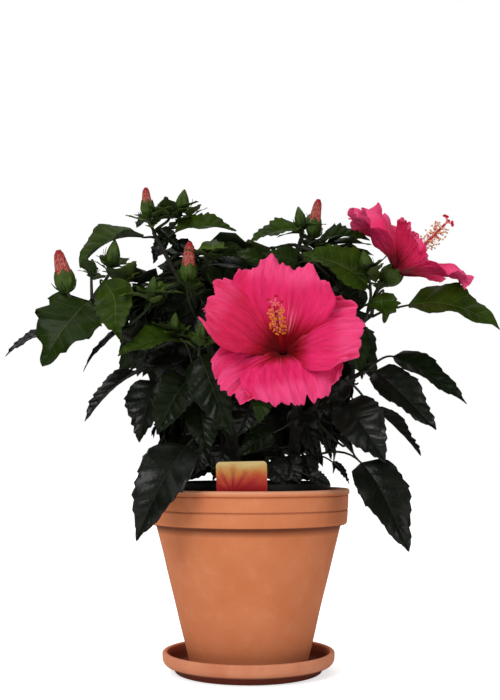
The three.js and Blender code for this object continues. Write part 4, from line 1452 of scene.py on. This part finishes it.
NAMED_LEAVES = (
    # the solid a leaf belongs to, its base and tip from the middle of that solid, its width, which
    # way its upper side faces, and its tone
    ("spray_far_left", (24, 7, 21), (-12, -3, -33), 60, (-0.3, -0.9, 0.4), "green"),
    ("spray_far_left", (-11, 8, -3), (-43, 3, -24.5), 12, (0, -0.6, 0.8), "shade"),
    ("spray_left_dart", (24, 9, 26), (-18, 0, -15), 11, (-0.4, -0.6, 0.7), "deep"),
    ("mass_top_left", (-34, -34, 26), (-16, -36, 7), 15, (0.2, -0.8, 0.5), "deep"),
    ("mass_top_left", (-28, -30, 20), (-39, -30, -3), 17, (-0.4, -0.8, 0.4), "shade"),
    ("mass_top_left", (-22, -28, 16), (1, -32, -3), 18, (0.1, -0.8, 0.5), "shade"),
    ("mass_lower_right", (6, -44, 45), (-16, -46, 8), 23, (-0.2, -0.9, 0.3), "shade"),
    ("mass_lower_right", (-12, -46, 29), (8, -50, 3), 20, (0.3, -0.9, 0.3), "shade"),
    ("mass_lower_left", (18, -32, -20), (14, -44, -57), 20, (0, -0.95, 0.3), "shade"),
    ("mass_lower_right", (-26, -24, -18), (-20, -34, -39), 20, (0.1, -0.9, 0.4), "shade"),
    ("mass_front", (2, 16, 43), (-30, 16, 50), 19, (0, -0.7, 0.7), "green"),
    ("mass_front", (28, 6, 40), (1, 4, 49), 25, (0.1, -0.9, 0.5), "green"),
    ("mass_front", (31, 4, 42), (60, 2, 45), 17, (0, -0.6, 0.8), "sunlit"),
    ("mass_top_right", (-23, -6, 18), (5, -10, 14), 13, (0, -0.5, 0.85), "deep"),
    ("mass_top_right", (-9, -22, -18), (19, -24, -31), 24, (0.2, -0.9, 0.3), "deep"),
    ("mass_right", (-9, -36, 35), (5, -38, -19), 27, (0.3, -0.9, 0.3), "green"),
    ("mass_front", (-1, -59, -71), (-5, -62, -93), 17, (0, -0.9, 0.4), "green"),
    ("mass_lower_left", (85, -62, -19), (55, -64, -39), 24, (0, -0.8, 0.6), "deep"),
    ("mass_lower_left", (91, -32, -31), (67, -32, -37), 10, (0, -0.6, 0.8), "shade"),
    ("mass_lower_right", (-29, -19, 20), (-14, -21, -24), 20, (-0.1, -0.9, 0.2), "shade"),
    ("mass_lower_right", (-16, -9, 25), (-3, -9, -21), 18, (0.1, -0.9, 0.2), "shade"),
    ("mass_lower_right", (-33, -4, 25), (-26, -4, -21), 17, (-0.3, -0.9, 0.1), "shade"),
    ("mass_lower_right", (-4, -34, -22), (10, -36, -41), 8, (0.5, -0.8, 0.3), "shade"),
    ("mass_lower_right", (-38, -21, -28), (-8, -25, -38), 22, (0, -0.85, 0.5), "shade"),
    ("mass_lower_right", (-48, -23, -24), (-32, -33, -38), 20, (0, -0.8, 0.5), "shade"),
    ("mass_lower_right", (-57, -43, -23), (-39, -47, -43), 22, (0.2, -0.95, 0.2), "shade"),
    ("mass_lower_right", (-43, -39, -18), (-30, -45, -42), 20, (-0.1, -0.95, 0.2), "shade"),
    ("mass_lower_right", (-24, -50, -33), (-6, -49, -41.5), 13, (0, -0.9, 0.5), "shade"),
    ("mass_front", (-11, -30, -75), (-22, -36, -103), 26, (0.1, -0.95, 0.3), "shade"),
    ("mass_lower_left", (38, -37, -36), (12, -37, -59), 22, (0, -0.95, 0.3), "shade"),
    ("mass_lower_left", (30, -43, -25), (20, -41, -57), 24, (0, -0.95, 0.3), "shade"),
    ("mass_lower_left", (46, -48, -29), (36, -53, -58), 20, (0.2, -0.95, 0.3), "shade"),
    ("mass_lower_left", (12, -28, -21), (6, -33, -58), 24, (-0.2, -0.95, 0.3), "shade"),
    ("mass_left", (40, -17, -37), (-1, -19, -58), 34, (-0.1, -0.85, 0.5), "shade"),
    ("mass_top_left", (39, -33, -7), (1, -34, -7), 24, (0, -0.6, 0.8), "deep"),
    ("mass_left", (43, -7, 9), (18, -9, -24), 26, (0, -0.9, 0.4), "deep"),
    ("mass_left", (48, -10, 1), (35, -12, -41), 25, (-0.1, -0.9, 0.3), "shade"),
    ("mass_left", (20, -37, 2), (4, -39, -12), 17, (0, -0.85, 0.5), "green"),
    ("mass_left", (23, -22, 6), (-7, -24, -7), 26, (0, -0.7, 0.7), "deep"),
    ("mass_left", (4, -17, 18), (-29, -17, 21), 13, (0, 0.5, 0.85), "deep"),
)


def named_leaf(node, base, tip, width, face, number):
    """One leaf of its own, with its outline, veins and droop, and its stalk."""
    dice = random.Random(300 + number)
    base, tip = (sum(box_of(node)) / 2 + np.array(end, float) for end in (base, tip))
    length = np.linalg.norm(tip - base)
    heading = (tip - base) / length
    up = unit(face - heading * (face @ heading))
    arch = length * dice.uniform(0.06, 0.12)
    fold = math.radians(dice.uniform(6, 16))

    def middle(v):
        return base + (tip - base) * v + up * arch * 4 * v * (1 - v)

    shape = leaf_plan(middle, np.cross(heading, up), up, fold, width / 2, 1.05)
    margin = (4, 9.0) if width > 40 else (7, 2.4)
    form = (margin, 0.6, width * 0.05, SMALL_LEAF_THICKNESS)
    shell = leaf_shell(shape, *leaf_rows(3), COLUMNS, *form, dice)
    line = stalk_line(limb_near(base), base + heading, unit(middle(0.08) - base))
    return shell, (line, np.linspace(1.0, 0.7, len(line)))


SHOOTS = (
    # the bud a shoot stands beside, its foot from that bud's tip, the length and radius of its own
    # small green bud, and how many young leaflets of what length stand round it
    ("bud_far_left", (42, 8, -12), 22, 5.6, 9, 15),
    ("bud_far_left", (26, 6, -18), 12, 3.8, 7, 13),
    ("bud_far_left", (52, 4, -22), 0, 0, 7, 17),
    ("bud_top_left", (4, 2, -28), 0, 0, 9, 15),
    ("bud_green_top", (-12, -2, -22), 0, 0, 8, 16),
    ("bud_green_top", (2, -2, -26), 0, 0, 6, 17),
    ("bud_inner", (-30, -12, -47), 17, 4.6, 12, 20),
    ("bud_inner", (17, 8, -10), 0, 0, 12, 20),
    ("bud_inner", (2, -4, -40), 0, 0, 7, 14),
    ("bud_inner", (9, -18, -86), 20, 4.8, 8, 13),
    ("bud_inner", (-12, -12, -74), 15, 4.2, 8, 13),
    ("bud_top_right", (-14, 0, -24), 18, 4.6, 9, 17),
    ("bud_top_right", (4, 6, -36), 0, 0, 9, 18),
    ("bud_top_right", (37, -46, -68), 17, 5.4, 8, 14),
    ("bud_top_right", (46, -32, -76), 0, 0, 6, 16),
)
GREEN_BUDS = []


def young_shoot(foliage, node, offset, bud_length, bud_radius, leaflets, length, number):
    """A side shoot: a short twig, a whorl of young toothed leaflets and maybe a green bud."""
    dice = random.Random(500 + number)
    foot = bud_place(node)[1] + np.array(offset, float)
    root = limb_near(foot)
    reach = np.linalg.norm(foot - root)
    lean = unit(np.array([dice.uniform(-0.25, 0.25), -0.15, 1.0]))
    knee = root + unit(foot - root + UP * 4) * reach * 0.4
    line = path(root, knee, foot - lean * reach * 0.3, foot, 11)
    foliage.twigs.append((line, np.linspace(1.4, 1.1, 11)))
    if bud_length:
        GREEN_BUDS.append((foot, foot + lean * bud_length, bud_radius))
    for k in range(leaflets):
        outward = around(square_to(lean), k * GOLDEN_ANGLE + dice.uniform(-0.3, 0.3))
        rise = dice.uniform(0.1, 1.1)
        heading = unit(outward + lean * rise)
        base = foot - lean * dice.uniform(-2, 5) + outward * dice.uniform(1.5, 3.5)
        up = unit(lean - outward * 0.35 * rise)
        tone = "young" if dice.random() < 0.7 else "sunlit"
        size = length * dice.uniform(0.9, 1.75)
        width = dice.uniform(0.85, 1.2)
        foliage.leaf(foot - lean * 3, base, heading, up, size, tone, dice, width, 0.5)


def make_inner_foliage():
    """Shoots, named leaves and the masses of foliage, as pieces of leaves, twigs and stalks."""
    foliage = Foliage()
    for number, (node, *shoot) in enumerate(SHOOTS):
        young_shoot(foliage, node, *shoot, number)
    shells = {tone: [] for tone in LEAF_TONES}
    for number, (node, base, tip, width, face, tone) in enumerate(NAMED_LEAVES):
        shell, stalk = named_leaf(node, base, tip, width, np.array(face, float), number)
        shells[tone].append(shell)
        foliage.stalks.append(stalk)
    for node in MASSES:
        grow_mass(node, foliage)
    stands_for = MASSES
    for tone, skins in LEAF_SKINS.items():
        mesh = set_on_points("leaves", LEAF_SHAPES, foliage.spots[tone], skins)
        place_piece(f"leaves_inner_{tone}", mesh, None, "foliage", stands_for)
        stands_for = ()
        if shells[tone]:
            place_leaves(f"leaves_between_{tone}", shells[tone], tone)
    twigs = grow_stems("twigs", foliage.twigs, SHOOT, sides=8, relief=0.15, grain=2.5)
    place_piece("twigs", twigs, None, "bark")
    stalks = grow_stems("stalks", foliage.stalks, STALK, sides=5)
    place_piece("stalks_inner", stalks, None, "foliage")


make_inner_foliage()


# ---- blooms

# a petal's eye, throat, body and margin, and how strongly its pale rays show
PETAL = petal_tissue("hibiscus_petal_rose", "#7a0008", "#b00d2c", "#e02667", "#ea457f", 0.1)
PETAL_RAYED = petal_tissue("hibiscus_petal_rayed", "#7a0008", "#b00d2c", "#e02867", "#ea467f", 0.75)
PETAL_DEEP = petal_tissue("hibiscus_petal_deep", "#72000a", "#ac0b2a", "#d62255", "#e13e71", 0.05)
PETAL_PALE = petal_tissue("hibiscus_petal_faded", "#8a0d22", "#c01c40", "#d8265c", "#e6487a", 0.05)
# two close tones, their roughness, the size of their mottle and their relief in millimetres, gloss
COLUMN = soft_tissue("stamen_tube_rose", "#b01c30", "#cc3a52", 0.5, 9, 0.1, 0.2)
COLUMN_DEEP = soft_tissue("stamen_tube_crimson", "#6a0710", "#94141f", 0.5, 9, 0.1, 0.15)
FILAMENT = soft_tissue("stamen_filament_rose", "#e0566c", "#ef8d80", 0.5, 4, 0.05)
POLLEN = soft_tissue("anther_pollen_gold", "#cf6a10", "#e8962e", 0.85, 0.8, 0.25, 0.2)
POLLEN_PALE = soft_tissue("anther_pollen_spent", "#c98a5a", "#e6bf95", 0.85, 0.8, 0.25, 0.2)
STIGMA = soft_tissue("stigma_velvet_crimson", "#ac0f2a", "#c8203c", 0.8, 0.9, 0.25, 0.1)
CALYX = soft_tissue("calyx_green", "#2b3d0e", "#42571f", 0.55, 5, 0.12, 0.15)
BRACT = soft_tissue("bract_green", "#20300b", "#33451a", 0.55, 4, 0.08, 0.15)
BUD_SKIN = rolled_petals("bud_petals_furled", "#900c18", "#c2957a")


PETAL_THICKNESS, BRACT_THICKNESS = 0.5, 0.35
CLAW = 3.4  # half the width of a petal where it leaves the throat
BRACTS = 8  # in the ring round a calyx
STIGMA_COUNT = 5
TUBE_STEPS = 18


def far_point(corners, start, way):
    """The point of a solid that reaches farthest from start, of those that lie much that way."""
    apart = corners - start
    reach = apart @ unit(way)
    close = reach > 0.82 * np.linalg.norm(apart, axis=1)
    best = corners[close][reach[close].argmax()]
    return corners[np.linalg.norm(corners - best, axis=1) < 6].mean(0)


def column_ends(bloom):
    """Where a bloom's stamen column starts, inside the bloom, and where it ends."""
    column = cad_triangles(f"{bloom}_column")
    corners = column.reshape(-1, 3)
    reach = corners @ long_axis(column)
    ends = [corners[reach > reach.max() - 1].mean(0), corners[reach < reach.min() + 1].mean(0)]
    petals = cad_triangles(bloom).reshape(-1, 3)
    return sorted(ends, key=lambda end: np.linalg.norm(petals - end, axis=1).min())


def margin_at(u, margin, seed):
    """How far a petal's margin stands out at one place across it, as a share of the petal's length:
    scooped between the peaks of a list, or in so many round lobes."""
    if isinstance(margin, tuple):
        apart = min(abs(u - peak) for peak in margin)
        out = 0.03 - 0.1 * min(apart / 0.3, 1.0) ** 0.8
    else:
        out = 0.08 * (abs(math.sin(margin * u + seed)) ** 0.6 - 0.6)
    out += 0.05 * noise.noise(Vector((u * 9, seed, 5.0)))
    return out + 0.018 * noise.noise(Vector((u * 20, seed, 8.0)))


def petal_lift(u, v, waves, ruffle, seed):
    """How far a petal stands up from its smooth form: ribs along its veins, crinkles and ruffles."""
    ribs = math.sin(u * 26 + 6 * noise.noise(Vector((u * 3, v * 2, seed))))
    ribs += 3.6 * noise.noise(Vector((u * 6.5, v * 2.6, seed + 4)))
    ribs += 1.7 * noise.noise(Vector((u * 11, v * 7, seed + 7)))
    wave = sum(math.sin(pace * u * 2 + phase + v * 1.5) * share for pace, phase, share in waves)
    wave += 1.6 * noise.noise(Vector((u * 2.6, v * 2.4, seed + 9)))
    rim = noise.noise(Vector((u * 7.5, seed, 3.0))) * smooth_step(0.72, 1, v)
    edge = (0.35 + 0.65 * abs(u)) * v**2.2
    return ribs * smooth_step(0.15, 0.5, v) + ruffle * (edge * wave + 1.3 * rim)


def petal_shell(throat, tip, axis, width, look, dice, mark, rows=36, columns=72):
    """One petal as a thin closed shell. It leaves the throat as a narrow claw, spreads like a fan
    along its veins, and its margin is ruffled and scalloped."""
    depth, cup, curl, ruffle, lean, margin = look
    outward = unit(tip - throat - axis * ((tip - throat) @ axis))
    side = unit(np.cross(axis, outward))
    reach = np.linalg.norm(tip - throat)
    start = throat - axis * 7 + outward * 2.2
    knee = start + axis * depth + outward * reach * 0.12
    bend = tip - outward * reach * 0.36 + axis * cup
    waves = []
    for slow, fast, share in ((2.2, 3.4, 0.7), (5, 7, 0.9)):
        waves.append((dice.uniform(slow, fast), dice.uniform(0, math.tau), share))
    seed = dice.uniform(0, 50)
    grid, uvs = [], []
    for v in (row / rows for row in range(rows + 1)):
        line, uv_line = [], []
        for u in (2 * column / columns - 1 for column in range(columns + 1)):
            along = v * (1 + margin_at(u, margin, seed) * v**3) * (1 - 0.2 * abs(u) ** 2.5 * v)
            fan = math.sin(math.pi / 2 * min(v / 0.8, 1)) ** 1.2
            half = CLAW + (width / 2 - CLAW) * fan * (1 - 0.1 * smooth_step(0.8, 1, v))
            lift = petal_lift(u, v, waves, ruffle, seed) + lean * u * half - curl * v**4
            lift += depth * 0.25 * u * u * smooth_step(0, 0.5, v) * (1 - v)
            line.append(bezier(start, knee, bend, tip, along) + side * u * half + axis * lift)
            uv_line.append((0.5 + u / 2, along))
        grid.append(line)
        uvs.append(uv_line)
    return skin_grid(grid, uvs, PETAL_THICKNESS, axis, mark)


def small_shape(name, work):
    """A small shape to set on points, all in one skin."""
    mesh = mesh_from(name, work)
    mesh.polygons.foreach_set("use_smooth", [True] * len(mesh.polygons))
    mesh.attributes.new("part", "INT", "FACE")
    return mesh


def anther_mesh(name, length, height):
    """A kidney-shaped anther."""
    work = bmesh.new()
    bmesh.ops.create_uvsphere(work, u_segments=8, v_segments=5, radius=1.0)
    for vertex in work.verts:
        x, y, z = vertex.co
        bent = z * height - 0.25 * length * x**2
        vertex.co = Vector((x * length, y * 0.8, bent)) * MM
    return small_shape(name, work)


def pad_mesh(name):
    """The velvety pad of a stigma."""
    work = bmesh.new()
    bmesh.ops.create_icosphere(work, subdivisions=2, radius=1.0)
    for vertex in work.verts:
        bump = 1 + 0.12 * noise.noise(vertex.co * 4)
        vertex.co = vertex.co * Vector((1.45, 1.45, 1.0)) * bump * MM
    return small_shape(name, work)


ANTHER_SIZES = {"long": (0.95, 0.6), "short": (0.75, 0.62)}
ANTHERS = shape_collection("anther", [anther_mesh(kind, *size) for kind, size in ANTHER_SIZES.items()])
STIGMAS = shape_collection("stigma", [pad_mesh("stigma_pad")])


def make_column(name, foot, end, skin, pollen, count, spread, dice):
    """The stamen column: a tube with short stamens round its outer half, and five stigmas beyond."""
    axis = unit(end - foot)
    length = np.linalg.norm(end - foot)
    axes = square_to(axis)
    bow = UP - axis * axis[2]
    low, high = foot + axis * length * 0.35 - bow * 2, end - axis * length * 0.3 - bow
    line = path(foot, low, high, end, TUBE_STEPS + 1, last=0.9)
    radii = 1.9 - 0.9 * np.linspace(0, 1, TUBE_STEPS + 1) ** 0.8
    filaments, spots, pads = [], [], []
    for k in range(count):
        share = 0.5 + 0.46 * (k + 0.5) / count
        place = line[min(int(share * TUBE_STEPS), TUBE_STEPS)]
        stray = np.array([dice.gauss(0, 0.16) for _ in range(3)])
        way = unit(around(axes, k * GOLDEN_ANGLE) + axis * dice.uniform(-0.1, 0.6) + stray)
        reach = dice.uniform(3.4, 6.4) * spread
        tip = place + way * reach
        filaments.append(([place, place + way * reach * 0.55 + axis * 0.2, tip], [0.2, 0.16, 0.14]))
        turn = turn_to(unit(np.cross(way, axis) + 1e-3), way)
        spots.append((tip, turn, dice.uniform(0.95, 1.2), k % 2))
    top = line[-1]
    for k in range(STIGMA_COUNT):
        outward = around(axes, math.tau * k / STIGMA_COUNT + 0.5)
        reach = dice.uniform(4.4, 5.6)
        tip = top + axis * reach * 0.75 + outward * reach * 0.95
        bend = top + axis * reach * 0.55 + outward * reach * 0.25
        filaments.append(([top, bend, tip], [0.5, 0.42, 0.4]))
        pads.append((tip + unit(tip - top) * 0.6, turn_to(axes[0], unit(tip - top)), 1.15, 0))
    parts = (
        ("tube", grow_stems("tube", [(line, radii)], skin, sides=12, relief=0.15, grain=2), [name]),
        ("filaments", grow_stems("filaments", filaments, FILAMENT, sides=5), ()),
        ("anthers", set_on_points("anthers", ANTHERS, spots, [pollen]), ()),
        ("stigmas", set_on_points("pads", STIGMAS, pads, [STIGMA]), ()),
    )
    for part, mesh, nodes in parts:
        place_piece(f"{name}_{part}", mesh, None, "stamen_column", nodes)


def spindle(base, tip, radius_at, rows, twist, ridge, mark):
    """A closed body along a line whose radius follows a rule; its five ridges twist round it."""
    sides = 30
    axes = square_to(unit(tip - base))
    points, uvs = [base - unit(tip - base) * 0.05], [(0.5, 0.0)]
    for v in (row / rows for row in range(rows + 1)):
        for k in range(sides):
            angle = math.tau * k / sides
            radius = radius_at(v) * (1 + ridge * math.cos(5 * angle + twist * v))
            points.append(base + (tip - base) * v + around(axes, angle) * radius)
            uvs.append((k / sides + twist * v / math.tau, v))
    faces = wrapped(rows + 1, sides)
    return [*points, tip], faces, [mark] * len(faces), [*uvs, (0.5, 1.0)]


def lobed_cup(base, axis, length, radius, dice):
    """A calyx: a closed cup whose rim runs out into five pointed lobes that hug what it holds."""
    axes = square_to(axis)
    sides, rows, lobes = 40, 12, 5
    turn = dice.uniform(0, 1)
    points, uvs = [base - axis * 0.1], [(0.5, 0)]
    outside = [(row / rows, 1.0, 0.0) for row in range(rows + 1)]
    inside = [(1.0, 0.9, 0.5), (0.55, 0.9, 0.0)]
    for v, scale, drop in outside + inside:
        for k in range(sides):
            angle = math.tau * k / sides
            lobe = abs(math.cos(lobes / 2 * (angle + turn))) ** 1.3
            height = length * (v * (0.76 + 0.24 * lobe * smooth_step(0.3, 1, v))) - drop
            body = math.sin(math.pi * (0.06 + 0.62 * v)) ** 0.8
            keel = 1 + 0.05 * math.cos(lobes * 2 * (angle + turn))
            pull = 1 - 0.1 * lobe * smooth_step(0.7, 1, v)
            out = around(axes, angle) * radius * body * keel * pull * scale
            points.append(base + axis * height + out)
            uvs.append((k / sides, v))
    faces = wrapped(rows + 3, sides)
    return [*points, base + axis * length * 0.5], faces, [0] * len(faces), [*uvs, (0.5, 1)]


def bract_shell(base, way, outward, length, width, rise, mark):
    """A narrow bract: it leaves the foot of a bud, bows outwards and ends in a point."""
    side = unit(np.cross(way, outward))
    raised = unit(way * 0.8 - outward * 0.3) * 0.3
    grid, uvs = [], []
    for v in (row / 8 for row in range(9)):
        out, up = 0.75 * v - rise * v * v, 0.12 * v + rise * 1.3 * v * v
        middle = base + (outward * out + way * up) * length
        half = width / 2 * max(math.sin(math.pi * (0.12 + 0.86 * v**0.8)), 0.04)
        grid.append([middle + (raised - side) * half, middle, middle + (raised + side) * half])
        uvs.append([(0, v), (0.5, v), (1, v)])
    return skin_grid(grid, uvs, BRACT_THICKNESS, way, mark)


def bud_shells(base, tip, radius, red, dice):
    """A bud: calyx, a ring of narrow bracts, and furled petals where they already show."""
    axis = unit(tip - base)
    length = np.linalg.norm(tip - base)

    def furled(v):
        return radius * (0.84 - 0.44 * v**1.3) * max(1 - v**24, 0.6)

    def closed(v):
        return radius * math.sin(math.pi * min(0.08 + 0.9 * v**0.75, 0.985)) ** 0.85

    if red > 0:
        petals = spindle(base + axis * length * 0.25, tip, furled, 18, 2.6, 0.07, 1)
        shells = [petals, lobed_cup(base, axis, length * (1.02 - red), radius, dice)]
    else:
        shells = [spindle(base, tip, closed, 16, 0.3, 0.09, 0)]
    for k in range(BRACTS):
        outward = around(square_to(axis), math.tau * k / BRACTS + dice.uniform(-0.25, 0.25))
        start = base + axis * 0.6 + outward * radius * 0.32
        reach = max(length * dice.uniform(0.42, 0.62) * (1.0 if red else 1.5), 8)
        shells.append(bract_shell(start, axis, outward, reach, 1.8, dice.uniform(0.15, 0.5), 2))
    return shells


RED_SHARES = {"bud_far_left": 0.5, "bud_top_left": 0.42, "bud_inner": 0.52, "bud_top_right": 0.52}


def make_buds():
    """The buds with solids on their stalks, and the small green buds of the shoots."""
    dice = random.Random(77)
    shells, stalks = [], []
    for node in BUDS:
        base, tip, radius = bud_place(node)
        shells.extend(bud_shells(base, tip, radius * 0.94, RED_SHARES.get(node, 0), dice))
        corners = cad_triangles(node).reshape(-1, 3)
        root = corners[nearest_corner(corners, LIMB_SURFACE)]
        axis = unit(tip - base)
        reach = np.linalg.norm(base - root)
        knee = root + unit(base - root) * reach * 0.4
        line = path(root, knee, base - axis * reach * 0.4, base + axis, 13)
        stalks.append((line, np.linspace(1.25, 1.5, 13)))
    for base, tip, radius in GREEN_BUDS:
        shells.extend(bud_shells(base, tip, radius, 0, dice))
    mesh = merged(write_mesh("buds", *join_shells(shells)), FINE_WELD)
    place_piece("buds", mesh, [CALYX, BUD_SKIN, BRACT], "buds", BUDS)
    mesh = grow_stems("bud_stalks", stalks, STALK, sides=9)
    place_piece("bud_stalks", mesh, None, "buds")


FRONT_PETALS = (
    # way of the petal, its width, its depth, cup, curl, ruffle and lean, the peaks of its margin or
    # how many round lobes that has, and which of the bloom's materials it wears
    ((0.05, -0.3, 1.0), 80, (13, 2.0, 1.0, 3.8, 0.10, (0.9, 0.34, -0.44)), 1),
    ((0.95, -0.4, 0.5), 76, (13, 1.0, 0.0, 4.2, -0.12, 5.2), 0),
    ((0.2, -0.6, -0.8), 80, (14, 13.0, 3.0, 3.2, -0.18, 5.6), 0),
    ((-0.9, -0.5, -0.35), 54, (12, 3.0, 2.0, 4.0, -0.27, 4.4), 0),
    ((-0.85, -0.4, 0.6), 72, (13, 1.0, 0.5, 5.8, 0.12, (0.8, 0.2, -0.4)), 2),
)
SIDE_PETALS = (
    ((-0.55, 0.0, 0.85), 82, (7, 2.0, 9.0, 4.2, 0.10, (0.7, 0.0, -0.7)), 0),
    ((0.2, -0.4, 0.45), 48, (8, 0.0, 2.0, 1.8, -0.10, (0.6, -0.6)), 0),
    ((0.95, -0.3, -0.2), 42, (8, 0.0, 2.0, 2.4, 0.10, 3.2), 0),
    ((-0.1, 0.6, 0.8), 44, (8, 0.0, 4.0, 4.6, -0.10, 4.0), 0),
    ((0.75, 0.65, 0.05), 42, (8, 0.0, 4.0, 4.0, 0.10, 4.6), 0),
)


def make_bloom(node, petals, skins, calyx_length, calyx_radius, seed):
    """Five petals round a throat, the calyx and bracts behind them, and the stalk they stand on."""
    foot, end = column_ends(node)
    corners = cad_triangles(node).reshape(-1, 3)
    axis = unit(end - foot)
    throat = foot + axis * 5
    dice = random.Random(seed)
    shells = []
    for way, width, look, mark in petals:
        tip = far_point(corners, throat, np.array(way))
        shells.append(petal_shell(throat, tip, axis, width, look, dice, mark))
    mesh = merged(write_mesh("petals", *join_shells(shells)), FINE_WELD * 2)
    place_piece(f"{node}_petals", mesh, skins, "petals", [node])
    heel = throat - axis * calyx_length
    shells = [lobed_cup(heel, axis, calyx_length * 0.8, calyx_radius, dice)]
    for k in range(BRACTS):
        outward = around(square_to(axis), math.tau * k / BRACTS)
        shells.append(bract_shell(heel + outward * 2.2, axis, outward, 12, 2.0, 0.45, 1))
    mesh = merged(write_mesh("calyx", *join_shells(shells)), FINE_WELD)
    place_piece(f"{node}_calyx", mesh, [CALYX, BRACT], "petals")
    root = limb_near(heel)
    reach = np.linalg.norm(heel - root) * 0.35
    line = path(root, root + UP * reach, heel - axis * reach, heel + axis * 1.5, 13)
    stalk = grow_stems("stalk", [(line, np.linspace(1.6, 1.9, 13))], STALK, sides=10)
    place_piece(f"{node}_stalk", stalk, None, "petals")
    return foot, end


FRONT_COLUMN = make_bloom("bloom_front", FRONT_PETALS, [PETAL, PETAL_RAYED, PETAL_DEEP], 24, 7.6, 5)
SIDE_COLUMN = make_bloom("bloom_side", SIDE_PETALS, [PETAL_PALE], 22, 9.2, 9)
COLUMN_DICE = random.Random(31)
make_column("bloom_front_column", *FRONT_COLUMN, COLUMN_DEEP, POLLEN, 84, 1.12, COLUMN_DICE)
make_column("bloom_side_column", *SIDE_COLUMN, COLUMN, POLLEN_PALE, 96, 1.35, COLUMN_DICE)
make_buds()


# ---- camera, floor, light

LENS, LENS_SHIFT = 59.14, 0.1457
EYE = (1.3, -977.5, 186.5)  # in millimetres, from the middle of the saucer
FLOOR_REACH = 9000
FLOOR_GLOW = 0.62
LAMPS = (
    # name, place and size in metres, and power
    ("key", (-0.75, -1.3, 1.05), 0.8, 13.6),
    ("fill", (0.95, -1.1, 0.6), 0.8, 4.4),
)
LAMP_AIM = (0, 0, 0.22)
SKY_POWER, SKY_SPREAD, SKY_TILT = 1.2, 70, (-12, -14, 0)  # the spread and tilt in degrees
WHITE = (1, 1, 1, 1)


def set_camera():
    low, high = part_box("saucer")
    axis = (low + high) / 2
    data = bpy.data.cameras.new("camera")
    data.lens = LENS
    data.shift_y = LENS_SHIFT
    camera = show(bpy.data.objects.new("camera", data))
    camera.location = (axis.x + EYE[0] * MM, axis.y + EYE[1] * MM, EYE[2] * MM)
    camera.rotation_euler = (math.radians(90), 0, 0)
    bpy.context.scene.camera = camera


def set_floor():
    """A white paper floor that glows to the camera, so that it fades into the backdrop."""
    corners = [(x * FLOOR_REACH, y * FLOOR_REACH, 0) for x, y in ((-1, -1), (1, -1), (1, 1), (-1, 1))]
    mesh = write_mesh("floor", corners, [(0, 1, 2, 3)])
    paper = Skin("paper_white_matt", "#fbfbfa", 0.95, 0.1)
    seen = add_node(paper.tree, "ShaderNodeLightPath", "Is Camera Ray")
    lit = add_node(paper.tree, "ShaderNodeMath", "Value", [seen, FLOOR_GLOW], operation="MULTIPLY")
    paper.wear({"Emission Color": WHITE, "Emission Strength": lit})
    mesh.materials.append(paper.material)
    show(bpy.data.objects.new("floor", mesh))


def set_backdrop():
    """A white studio: bright to the camera, soft on the plant and dim in its highlights."""
    world = bpy.data.worlds.new("studio")
    bpy.context.scene.world = world
    world.use_nodes = True
    tree = world.node_tree
    glow = tree.nodes["Background"]
    fill(tree, glow, {"Color": WHITE, "Strength": 0.28})
    rays = add_node(tree, "ShaderNodeLightPath").outputs
    last = glow.outputs[0]
    for ray, strength in (("Is Glossy Ray", 0.1), ("Is Camera Ray", 1.0)):
        white = add_node(tree, "ShaderNodeBackground", 0, {"Color": WHITE, "Strength": strength})
        last = add_node(tree, "ShaderNodeMixShader", 0, [rays[ray], last, white])
    fill(tree, tree.nodes["World Output"], {"Surface": last})


def set_lamps():
    for name, place, size, power in LAMPS:
        lamp = bpy.data.lights.new(name, "AREA")
        lamp.size = size
        lamp.energy = power
        holder = show(bpy.data.objects.new(name, lamp))
        holder.location = place
        aim = Vector(LAMP_AIM) - Vector(place)
        holder.rotation_euler = aim.to_track_quat("-Z", "Y").to_euler()
    sky = bpy.data.lights.new("overhead", "SUN")
    sky.energy = SKY_POWER
    sky.angle = math.radians(SKY_SPREAD)
    overhead = show(bpy.data.objects.new("overhead", sky))
    overhead.rotation_euler = [math.radians(tilt) for tilt in SKY_TILT]


set_camera()
set_floor()
set_backdrop()
set_lamps()
bpy.context.scene.view_settings.view_transform = "Standard"
bpy.context.scene.view_settings.look = "None"
